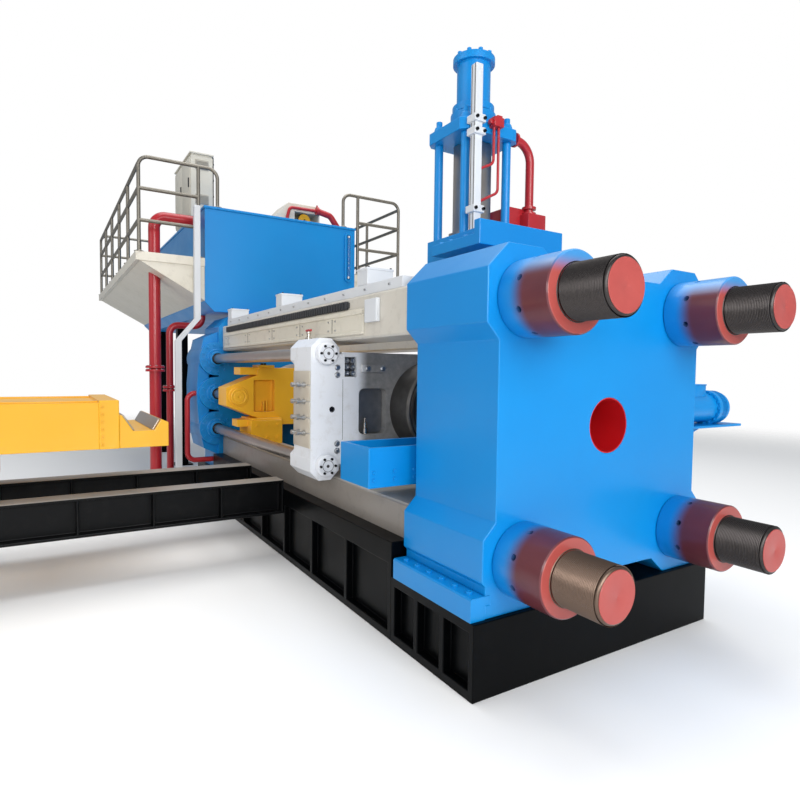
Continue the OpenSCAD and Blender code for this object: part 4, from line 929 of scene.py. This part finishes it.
# %% Sleeve cover, link chain and boxes
cover_low, cover_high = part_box("sleeve_cover")
COVER_FACE = cover_high.y - 0.012
SEAMS = (-4.594, -3.850, -3.106, -2.424, -1.798)
blocks("cover_seams",
       [((x - 0.003, COVER_FACE - 0.0015, cover_low.z + 0.026), (x + 0.003, COVER_FACE + 0.002, cover_high.z - 0.045))
        for x in SEAMS], dark_screw, edge=0.0006)
screws("cover_screws", cap_screw,
       [(x + step, COVER_FACE, cover_low.z + z) for x in SEAMS for step in (-0.06, 0.06) for z in (0.045, 0.110)],
       NEAR_Y, 0.008, zinc)
LINK = 0.045
chain_y, chain_z = cover_high.y, cover_high.z
links = []
x = cover_low.x + 0.10
while x < cover_high.x - 0.25:
    links.append(((x, chain_y - 0.022, chain_z + 0.006), (x + LINK * 0.62, chain_y - 0.0005, chain_z + 0.062)))
    links.append(((x + LINK * 0.55, chain_y - 0.014, chain_z + 0.014),
                  (x + LINK * 1.05, chain_y - 0.0005, chain_z + 0.054)))
    x += LINK
blocks("link_chain", links, black_plastic, edge=0.002)
TRAY_END = 0.15
tray_low, tray_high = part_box("cable_tray")
screws("tray_screws", cap_screw,
       [(x, tray_low.y, tray_low.z + 0.035) for x in spread(tray_low.x + TRAY_END, tray_high.x - TRAY_END, 12)],
       NEAR_Y, 0.010, zinc)
BOX_SET, BOX_PITCH, BOX_HALF = 0.670, 1.620, 0.079
LID_LIP, LID_DEEP, LID_IN = 0.004, 0.012, 0.014
box_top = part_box("junction_boxes")[1].z
lids, lid_screws = [], []
for i in range(3):
    x = platen_low.x - BOX_SET - BOX_PITCH * i
    lids.append(((x - BOX_HALF, tray_low.y - LID_LIP, box_top - LID_DEEP),
                 (x + BOX_HALF, tray_high.y + LID_LIP, box_top + LID_LIP)))
    lid_screws += [(x + step, y, box_top + LID_LIP) for step in (LID_IN - BOX_HALF, BOX_HALF - LID_IN)
                   for y in (tray_low.y + LID_IN, tray_high.y - LID_IN)]
blocks("box_lids", lids, white_coat, edge=0.002)
screws("box_lid_screws", cap_screw, lid_screws, ALONG_Z, 0.009, dark_screw)
print("chain links", len(links) // 2)

# %% [markdown]
# The shear stands on the platen, with a square ram between its columns. Screws hold its flange and its
# cylinder. A red valve block on the top plate feeds two thin pipes, which run down to the measuring rail, and a
# wide pipe bends from the plate down to a red manifold at the shear's foot. A pipe is a curve with a round section,
# whose corners are replaced by arcs.

# %% Shear tower
def rounded(points, radius, steps=10):
    """The points of a run whose corners are arcs of this radius."""
    points = [Vector(p) for p in points]
    run = [points[0]]
    for before, corner, after in zip(points, points[1:], points[2:]):
        back, on = (before - corner).normalized(), (after - corner).normalized()
        half = back.angle(on) / 2
        middle = corner + (back + on).normalized() * radius / math.sin(half)
        first = corner + back * radius / math.tan(half) - middle
        last = corner + on * radius / math.tan(half) - middle
        run += [middle + radius * first.slerp(last, i / steps) for i in range(steps + 1)]
    return run + [points[-1]]


def pipes(name, runs, d, bend, finish, body="frame"):
    """One piece made of pipes of one diameter, which follow runs of points with arcs of radius bend."""
    curve = bpy.data.curves.new(name, "CURVE")
    curve.dimensions = "3D"
    curve.bevel_depth = d / 2
    curve.bevel_resolution = 6
    curve.use_fill_caps = True
    for points in runs:
        places = rounded(points, bend)
        spline = curve.splines.new("POLY")
        spline.points.add(len(places) - 1)
        for point, place in zip(spline.points, places):
            point.co = (*place, 1)
    curve.materials.append(finish)
    made = bpy.data.objects.new(name, curve)
    scene.collection.objects.link(made)
    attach(made, body)
    return made


base_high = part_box("shear_base")[1]
plate_low, plate_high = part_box("shear_plate")
jack_low, jack_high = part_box("shear_cylinder")
rail_low, rail_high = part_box("shear_gauge")
blade_low, blade_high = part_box("shear_rod")
shear_x = (plate_low.x + plate_high.x) / 2
FLANGE_TOP = base_high.z - 0.084
RAM_HALF, FOOT_HALF, FOOT_T = 0.100, 0.118, 0.060
form = bmesh.new()
for half, top, edge in ((RAM_HALF, blade_high.z, 0.010), (FOOT_HALF, blade_low.z + FOOT_T, 0.005)):
    block(form, (shear_x - half, -half, blade_low.z), (shear_x + half, half, top), edge)
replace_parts(show("square_shear_ram", form, ground_rod), "shear_rod")

screws("shear_flange_screws", hex_bolt,
       [(platen_low.x - x, side * 0.315, FLANGE_TOP) for side in SIDES for x in (0.10, 0.20, 0.36, 0.47)],
       ALONG_Z, 0.024, blue_enamel)
angles = [math.pi * (i + 0.5) / 5 for i in range(10)]
jack_rings = ((0.141, jack_low.z + 0.120), (0.128, jack_high.z))
screws("shear_cylinder_screws", cap_screw,
       [(shear_x + r * math.cos(a), r * math.sin(a), z) for r, z in jack_rings for a in angles],
       ALONG_Z, 0.020, blue_enamel)
port = [(0, 0), (0.07, 0), (0.07, 0.03), (0.05, 0.034), (0.05, 0.05), (0, 0.052)]
turned("shear_cylinder_port", blue_enamel, [(port, (shear_x, 0, jack_high.z), ALONG_Z, 40)])

valve_x = plate_high.x
blocks("shear_valve", [((valve_x, -0.036, 3.266), (valve_x + 0.060, 0.047, 3.330)),
                       ((valve_x + 0.008, -0.005, 3.328), (valve_x + 0.052, 0.040, 3.346)),
                       ((valve_x + 0.014, -0.060, 3.280), (valve_x + 0.046, -0.034, 3.312))], red_enamel, edge=0.004)
RAIL_LIP = 0.017
VALVE_LOW, THIN_D, THIN_BEND = 3.270, 0.019, 0.05
rail_side = rail_high.y - RAIL_LIP
pipe_x = valve_x + 0.032
pipes("shear_thin_pipes",
      [[(pipe_x, y, VALVE_LOW), (pipe_x, y, bend_z), (pipe_x, rail_side, end_z)]
       for y, bend_z, end_z in ((-0.020, 3.02, 2.955), (0.022, 2.83, 2.735))], THIN_D, THIN_BEND, red_enamel)
WIDE_Y, WIDE_LOW, WIDE_TOP = 0.418, 2.752, 3.272
WIDE_D, WIDE_BEND = 0.062, 0.14
wide_x = shear_x + 0.155
pipes("shear_wide_pipe",
      [[(wide_x, plate_high.y - 0.002, WIDE_TOP), (wide_x, WIDE_Y, WIDE_TOP - 0.004), (wide_x, WIDE_Y, WIDE_LOW)]],
      WIDE_D, WIDE_BEND, red_enamel)
MANIFOLD_LOW = FLANGE_TOP + 0.0005
blocks("shear_manifold",
       [((shear_x - 0.160, 0.2315, MANIFOLD_LOW), (shear_x + 0.140, 0.460, 2.800)),
        ((shear_x + 0.075, 0.345, MANIFOLD_LOW), (shear_x + 0.230, 0.520, WIDE_LOW + 0.001))],
       red_enamel, edge=0.008)
PIPE_HOLE = 0.0315
turned("shear_pipe_flanges", red_enamel,
       [(ring(PIPE_HOLE, 0.052, 0.018), (wide_x, WIDE_Y, z), ALONG_Z, 40, True) for z in (WIDE_LOW, WIDE_LOW + 0.042)]
       + [(ring(PIPE_HOLE, 0.050, 0.016), (wide_x, plate_high.y, WIDE_TOP), ALONG_Y, 40, True)])
SLOT_HALF = 0.003
rail_x, rail_y0 = (rail_low.x + rail_high.x) / 2, rail_low.y + RAIL_LIP
blocks("rail_slots",
       [((rail_x + x - SLOT_HALF, rail_y0 - 0.0015, rail_low.z + 0.002),
         (rail_x + x + SLOT_HALF, rail_y0 + 0.001, rail_high.z - 0.004)) for x in (-0.016, 0.016)],
       tool_steel, edge=0.0006)
rail_mid = (rail_low.y + rail_high.y) / 2
screws("rail_clamp_screws", cap_screw,
       [(rail_high.x, rail_mid + y, rail_low.z + z) for y in (-0.032, 0.032) for z in (0.136, 0.647, 0.730)],
       ALONG_X, 0.014, dark_screw)
print("shear at", round(shear_x, 3))

# %% [markdown]
# On the roof stand a control cabinet and a pump hood. The cabinet's end has two louvred vents, and
# its long side has two doors with handles. The hood slopes on one side and is open to the front, where the pump
# shows its yellow disc, and a red pipe leaves it in two bends. The level glass on the tank's front is a tube of
# clear plastic in its slot.

# %% Cabinet, hood and level glass
LID_OUT = 0.012
VENT_HALF, SLAT_HALF, SLAT_PITCH, SLATS = 0.085, 0.075, 0.015, 7
cab_low, cab_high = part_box("control_cabinet")
front_x = cab_high.x - LID_OUT
mid_y = (cab_low.y + cab_high.y) / 2
slats = []
for top in (cab_high.z - 0.09, cab_low.z + 0.33):
    slats.append(((front_x - 0.001, mid_y - VENT_HALF, top - 0.125), (front_x + 0.005, mid_y + VENT_HALF, top)))
    slats += [((front_x + 0.002, mid_y - SLAT_HALF, top - 0.025 - SLAT_PITCH * i),
               (front_x + 0.013, mid_y + SLAT_HALF, top - 0.016 - SLAT_PITCH * i)) for i in range(SLATS)]
blocks("cabinet_vents", slats, vent_grey, edge=0.0015)
DOOR_IN = 0.06
side_y = cab_low.y + LID_OUT
doors, handles = [], []
for x0, x1 in ((cab_low.x + 0.04, cab_low.x + 0.505), (cab_low.x + 0.515, cab_high.x - 0.04)):
    doors.append(((x0, side_y - 0.008, cab_low.z + DOOR_IN), (x1, side_y + 0.002, cab_high.z - DOOR_IN)))
    handles.append(((x1 - 0.055, side_y - 0.022, cab_low.z + 0.42), (x1 - 0.035, side_y - 0.006, cab_low.z + 0.54)))
blocks("cabinet_doors", doors, cabinet_paint, edge=0.003)
blocks("cabinet_handles", handles, black_plastic, edge=0.004)
CLIPS, CLIP_IN, CLIP_HALF = 4, 0.12, 0.012
strip_y = cab_high.y - LID_OUT
strip_low = strip_y - 0.001
strip = ((front_x - 0.03, strip_low, cab_low.z + 0.05), (front_x + 0.004, strip_y + 0.010, cab_high.z - 0.03))
blocks("cabinet_edge_strip",
       [strip] + [((front_x - 0.036, strip_low, z - CLIP_HALF), (front_x + 0.006, strip_y + 0.013, z + CLIP_HALF))
                  for z in spread(cab_low.z + CLIP_IN, cab_high.z - CLIP_IN, CLIPS)], dark_screw, edge=0.002)

HOOD_H, HOOD_FAR = 0.320, 0.650
OPEN_LOW, OPEN_HIGH, OPEN_DEEP = (0.285, 0.030), (0.630, 0.215), 0.300
hood_low, hood_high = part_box("valve_block")
roof = hood_low.z - AXIS
form, mouth = bmesh.new(), bmesh.new()
prism(form, [(-0.100, roof), (HOOD_FAR, roof), (HOOD_FAR, roof + HOOD_H), (0.195, roof + HOOD_H)],
      hood_low.x, hood_high.x)
block(mouth, (hood_high.x - OPEN_DEEP, OPEN_LOW[0], hood_low.z + OPEN_LOW[1]),
      (hood_high.x + 0.05, OPEN_HIGH[0], hood_low.z + OPEN_HIGH[1]), 0.004)
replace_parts(soften(show("sloped_hood", carve(form, mouth), cream_paint), 0.004), "valve_block")
FAN_Y, FAN_Z = 0.447, hood_low.z + 0.122
motor = [(0, 0), (0.070, 0), (0.070, 0.22), (0.055, 0.235), (0, 0.235)]
turned("pump_motor", black_plastic, [(motor, (hood_high.x - 0.299, FAN_Y, FAN_Z), ALONG_X, 40)])
fan = [(0.018, 0), (0.088, 0), (0.088, 0.012), (0.080, 0.020), (0.018, 0.020)]
turned("pump_disc", yellow_enamel, [(fan, (hood_high.x - 0.064, FAN_Y, FAN_Z), ALONG_X, 40, True)])
HOOD_D, HOOD_BEND = 0.084, 0.10
LINE_Y, LINE_D, LINE_BEND = 0.140, 0.042, 0.06
PIPE_X = hood_high.x + 0.050
joint = Vector((PIPE_X, 0.590, hood_low.z + 0.250))
hose = pipes("hood_pipe", [[joint, joint + Vector((0, 0.200, -0.040)), (PIPE_X, 0.950, hood_low.z)]],
             HOOD_D, HOOD_BEND, red_enamel)
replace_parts(hose, "roof_pipe")
pipes("hood_thin_pipe", [[(PIPE_X, LINE_Y, hood_low.z + 0.020), (PIPE_X, 0.195, hood_low.z + 0.245), joint]],
      LINE_D, LINE_BEND, red_enamel)
vent_pin = [(0, 0), (0.012, 0), (0.012, 0.075), (0, 0.078)]
turned("hood_pipe_joint", red_enamel,
       [(disc(0.055, 0.030), joint - Vector((0, 0.012, 0)), ALONG_Y, 40), (vent_pin, joint, ALONG_Z, 16),
        (disc(0.030, 0.030), (hood_high.x - 0.002, LINE_Y, hood_low.z + 0.040), ALONG_X, 32)])

GLASS_IN, GLASS_R, GLASS_END = 0.028, 0.014, 0.055
slot_low, slot_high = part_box("level_gauge")
glass_x, glass_y = slot_low.x + GLASS_IN, (slot_low.y + slot_high.y) / 2
glass_len = slot_high.z - slot_low.z - 2 * GLASS_END
glass = [(0, 0), (GLASS_R, 0.004), (GLASS_R, glass_len - 0.004), (0, glass_len)]
turned("level_glass", clear_plastic, [(glass, (glass_x, glass_y, slot_low.z + GLASS_END), ALONG_Z, 28)])
turned("level_glass_ends", zinc, [(disc(0.019, 0.025), (glass_x, glass_y, z), ALONG_Z, 24)
                                  for z in (slot_low.z + 0.045, slot_high.z - 0.070)])
ROOF_HALF = 0.95
tank_low, tank_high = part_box("tank_shell")
roof_low, roof_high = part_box("tank_roof")
screws("roof_edge_screws", hex_bolt,
       [(roof_high.x, y, roof_low.z + 0.015) for y in spread(-ROOF_HALF, ROOF_HALF, 20)], ALONG_X, 0.008, blue_enamel)
print("cabinet front at", round(front_x, 3))

# %% [markdown]
# The railing is bent from tube. At each end of a platform one tube is the corner post, the end's top rail and the
# post on the roof, with a wide bend at each turn. The long rails run between the corner posts a little lower.
# The frame's railing joins these the other way round, so a set of curves takes its place. A thin sheet closes the
# gussets under each platform, which makes it smooth from below.

# %% Railing and platforms
RAIL_R, RAIL_BEND, LONG_DROP = 0.021, 0.110, 0.085
POST_OUT, ROOF_SET = 0.063, 0.160
SHARES = (1 / 3, 2 / 3)
side_low, side_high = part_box("railing_right")
deck_top = side_low.z
rail_y = side_high.y - RAIL_R
post_x = spread(side_low.x + RAIL_R, side_high.x - RAIL_R, 6)
post_y, roof_post_y = tank_high.y + POST_OUT, tank_high.y - ROOF_SET
end_x = (post_x[0], post_x[-1])
rail_h = side_high.z - RAIL_R - deck_top
rail_top = deck_top + rail_h
runs = []
for side in SIDES:
    out_y, in_y, roof_y = side * rail_y, side * post_y, side * roof_post_y
    for x in end_x:
        runs.append([(x, out_y, deck_top), (x, out_y, rail_top), (x, roof_y, rail_top), (x, roof_y, roof_high.z)])
        runs.append([(x, in_y, deck_top), (x, in_y, rail_top)])
        runs += [[(x, out_y, deck_top + s * rail_h), (x, in_y, deck_top + s * rail_h)] for s in SHARES]
    runs += [[(x, out_y, deck_top), (x, out_y, rail_top - LONG_DROP)] for x in post_x[1:-1]]
    runs += [[(x, out_y, deck_top + h) for x in end_x] for h in [rail_h - LONG_DROP] + [s * rail_h for s in SHARES]]
tubes = pipes("bent_railing_tubes", runs, 2 * RAIL_R, RAIL_BEND, galvanised)
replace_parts(tubes, "railing_left", "railing_right", "railing_left_ends", "railing_right_ends")

DECK_T, DECK_EDGE, GUSSET_IN, SHEET_T = 0.100, 0.050, 0.015, 0.004
deck_low, deck_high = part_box("decks")
beam_low, gusset_low = deck_high.z - DECK_T - AXIS, deck_low.z - AXIS
form = bmesh.new()
for side in SIDES:
    outer, inner = side * (deck_high.y - DECK_EDGE), side * (tank_high.y + 0.001)
    prism(form, [(outer, beam_low), (inner, gusset_low), (inner, gusset_low - SHEET_T), (outer, beam_low - SHEET_T)],
          deck_low.x + GUSSET_IN, deck_high.x - GUSSET_IN)
show("platform_soffits", form, cream_paint)
print("railing tubes", len(runs))

# %% [markdown]
# Railing posts stand on small round foot plates, each with screws. The oil pipes have flange pairs where their
# lengths are joined, with a ring of screws, and collars where they pass through the platform or enter the tank.

# %% Railing feet and pipe flanges
FIT = 0.0006
POST_HOLE, FOOT_SCREWS_R = RAIL_R + 0.0008, 0.040
foot_places = [(x, side * rail_y, deck_top) for side in SIDES for x in post_x]
foot_places += [(x, side * post_y, deck_top) for side in SIDES for x in end_x]
foot_places += [(x, side * roof_post_y, roof_high.z) for side in SIDES for x in end_x]
foot = [(POST_HOLE, 0), (0.052, 0), (0.052, 0.007), (0.030, 0.010), (POST_HOLE, 0.022)]
turned("railing_feet", galvanised, [(foot, place, ALONG_Z, 32, True) for place in foot_places])
screws("railing_foot_screws", cap_screw,
       [(x + FOOT_SCREWS_R * math.cos(a), y + FOOT_SCREWS_R * math.sin(a), z + 0.006)
        for x, y, z in foot_places for a in (0.8, 2.37, 3.94, 5.5)], ALONG_Z, 0.008, zinc)

WIDE_R, THIN_R = 0.0665, 0.0425
FLANGE_OUT, FLANGE_H, NECK_H, SCREWS_OUT = 0.042, 0.026, 0.040, 0.026
TANK_INLET = 3.398
wide_pipe = Vector((-5.402, -1.510, 0))
thin_pipe = Vector((-5.702, -1.290, 0))
flanges, flange_screws = [], []
for place, r, heights in ((wide_pipe, WIDE_R, (0.02, 1.55, 1.592)), (thin_pipe, THIN_R, (0.02, 1.30, 1.342))):
    outline = [(r + FIT, 0), (r + FLANGE_OUT, 0), (r + FLANGE_OUT, FLANGE_H), (r + 0.010, FLANGE_H),
               (r + FIT, NECK_H)]
    screws_r = r + SCREWS_OUT
    for z in heights:
        flanges.append((outline, place + Vector((0, 0, z)), ALONG_Z, 48, True))
        flange_screws += [place + Vector((screws_r * math.cos(a), screws_r * math.sin(a), z + FLANGE_H))
                          for a in [math.pi * i / 4 for i in range(8)]]
hole = WIDE_R + FIT
inlet = [(hole, 0), (WIDE_R + 0.045, 0), (WIDE_R + 0.045, 0.024), (hole, 0.034)]
flanges.append((ring(hole, WIDE_R + 0.05, 0.008), wide_pipe + Vector((0, 0, deck_top)), ALONG_Z, 48, True))
flanges.append((inlet, (wide_pipe.x, tank_low.y, TANK_INLET), NEAR_Y, 48, True))
turned("oil_pipe_flanges", red_enamel, flanges)
screws("oil_pipe_screws", hex_bolt, flange_screws, ALONG_Z, 0.010, zinc)
print("feet", len(foot_places))

# %% [markdown]
# The loader's arm has a bolted end frame and raised strips along its top. The motor of the die slide has
# screws round its flange, cooling fins and a terminal box, all sprayed with the platen's blue.

# %% Loader and motor
END_LIP, END_T = 0.018, 0.130
arm_low, arm_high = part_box("loader_arm")
form = bmesh.new()
for x, axis in ((arm_high.x, ALONG_X), (arm_low.x, BACK_X)):
    for z in spread(arm_low.z + 0.035, arm_high.z - 0.045, 6):
        cap_screw(form, (x, arm_high.y - END_T + 0.020, z), axis, 0.014)
show("arm_end_screws", form, yellow_enamel)
STRIP_W = 0.06
arm_top = arm_high.z - END_LIP
blocks("arm_top_strips",
       [((x, arm_low.y + 0.01, arm_top - 0.001), (x + STRIP_W, arm_high.y - END_T - 0.0005, arm_top + 0.010))
        for x in (arm_low.x + 0.10, arm_high.x - 0.16)], yellow_enamel)

FLANGE_SET, BOLT_RING = 0.700, 0.116
FIN_IN, FIN_OUT, FIN_T, FIN_PITCH = 0.1184, 0.126, 0.005, 0.013
motor_low, motor_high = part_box("die_motor")
motor_x = (motor_low.x + motor_high.x) / 2
MOTOR_Z = AXIS + 0.045
flange_y = motor_low.y + FLANGE_SET
angles = [2 * math.pi * i / 16 for i in range(16)]
screws("motor_flange_screws", hex_bolt,
       [(motor_x + BOLT_RING * math.cos(a), flange_y, MOTOR_Z + BOLT_RING * math.sin(a)) for a in angles],
       NEAR_Y, 0.009, blue_enamel)
turned("motor_fins", blue_enamel,
       [(ring(FIN_IN, FIN_OUT, FIN_T), (motor_x, flange_y + 0.046 + FIN_PITCH * i, MOTOR_Z), ALONG_Y, 56, True)
        for i in range(5)])
blocks("motor_box",
       [((motor_x - half, flange_y - back, MOTOR_Z + low), (motor_x + half, flange_y - front, MOTOR_Z + high))
        for half, back, front, low, high in ((0.06, 0.22, 0.08, 0.085, 0.165), (0.064, 0.224, 0.076, 0.165, 0.175))],
       blue_enamel)
print("motor flange at", round(flange_y, 3))
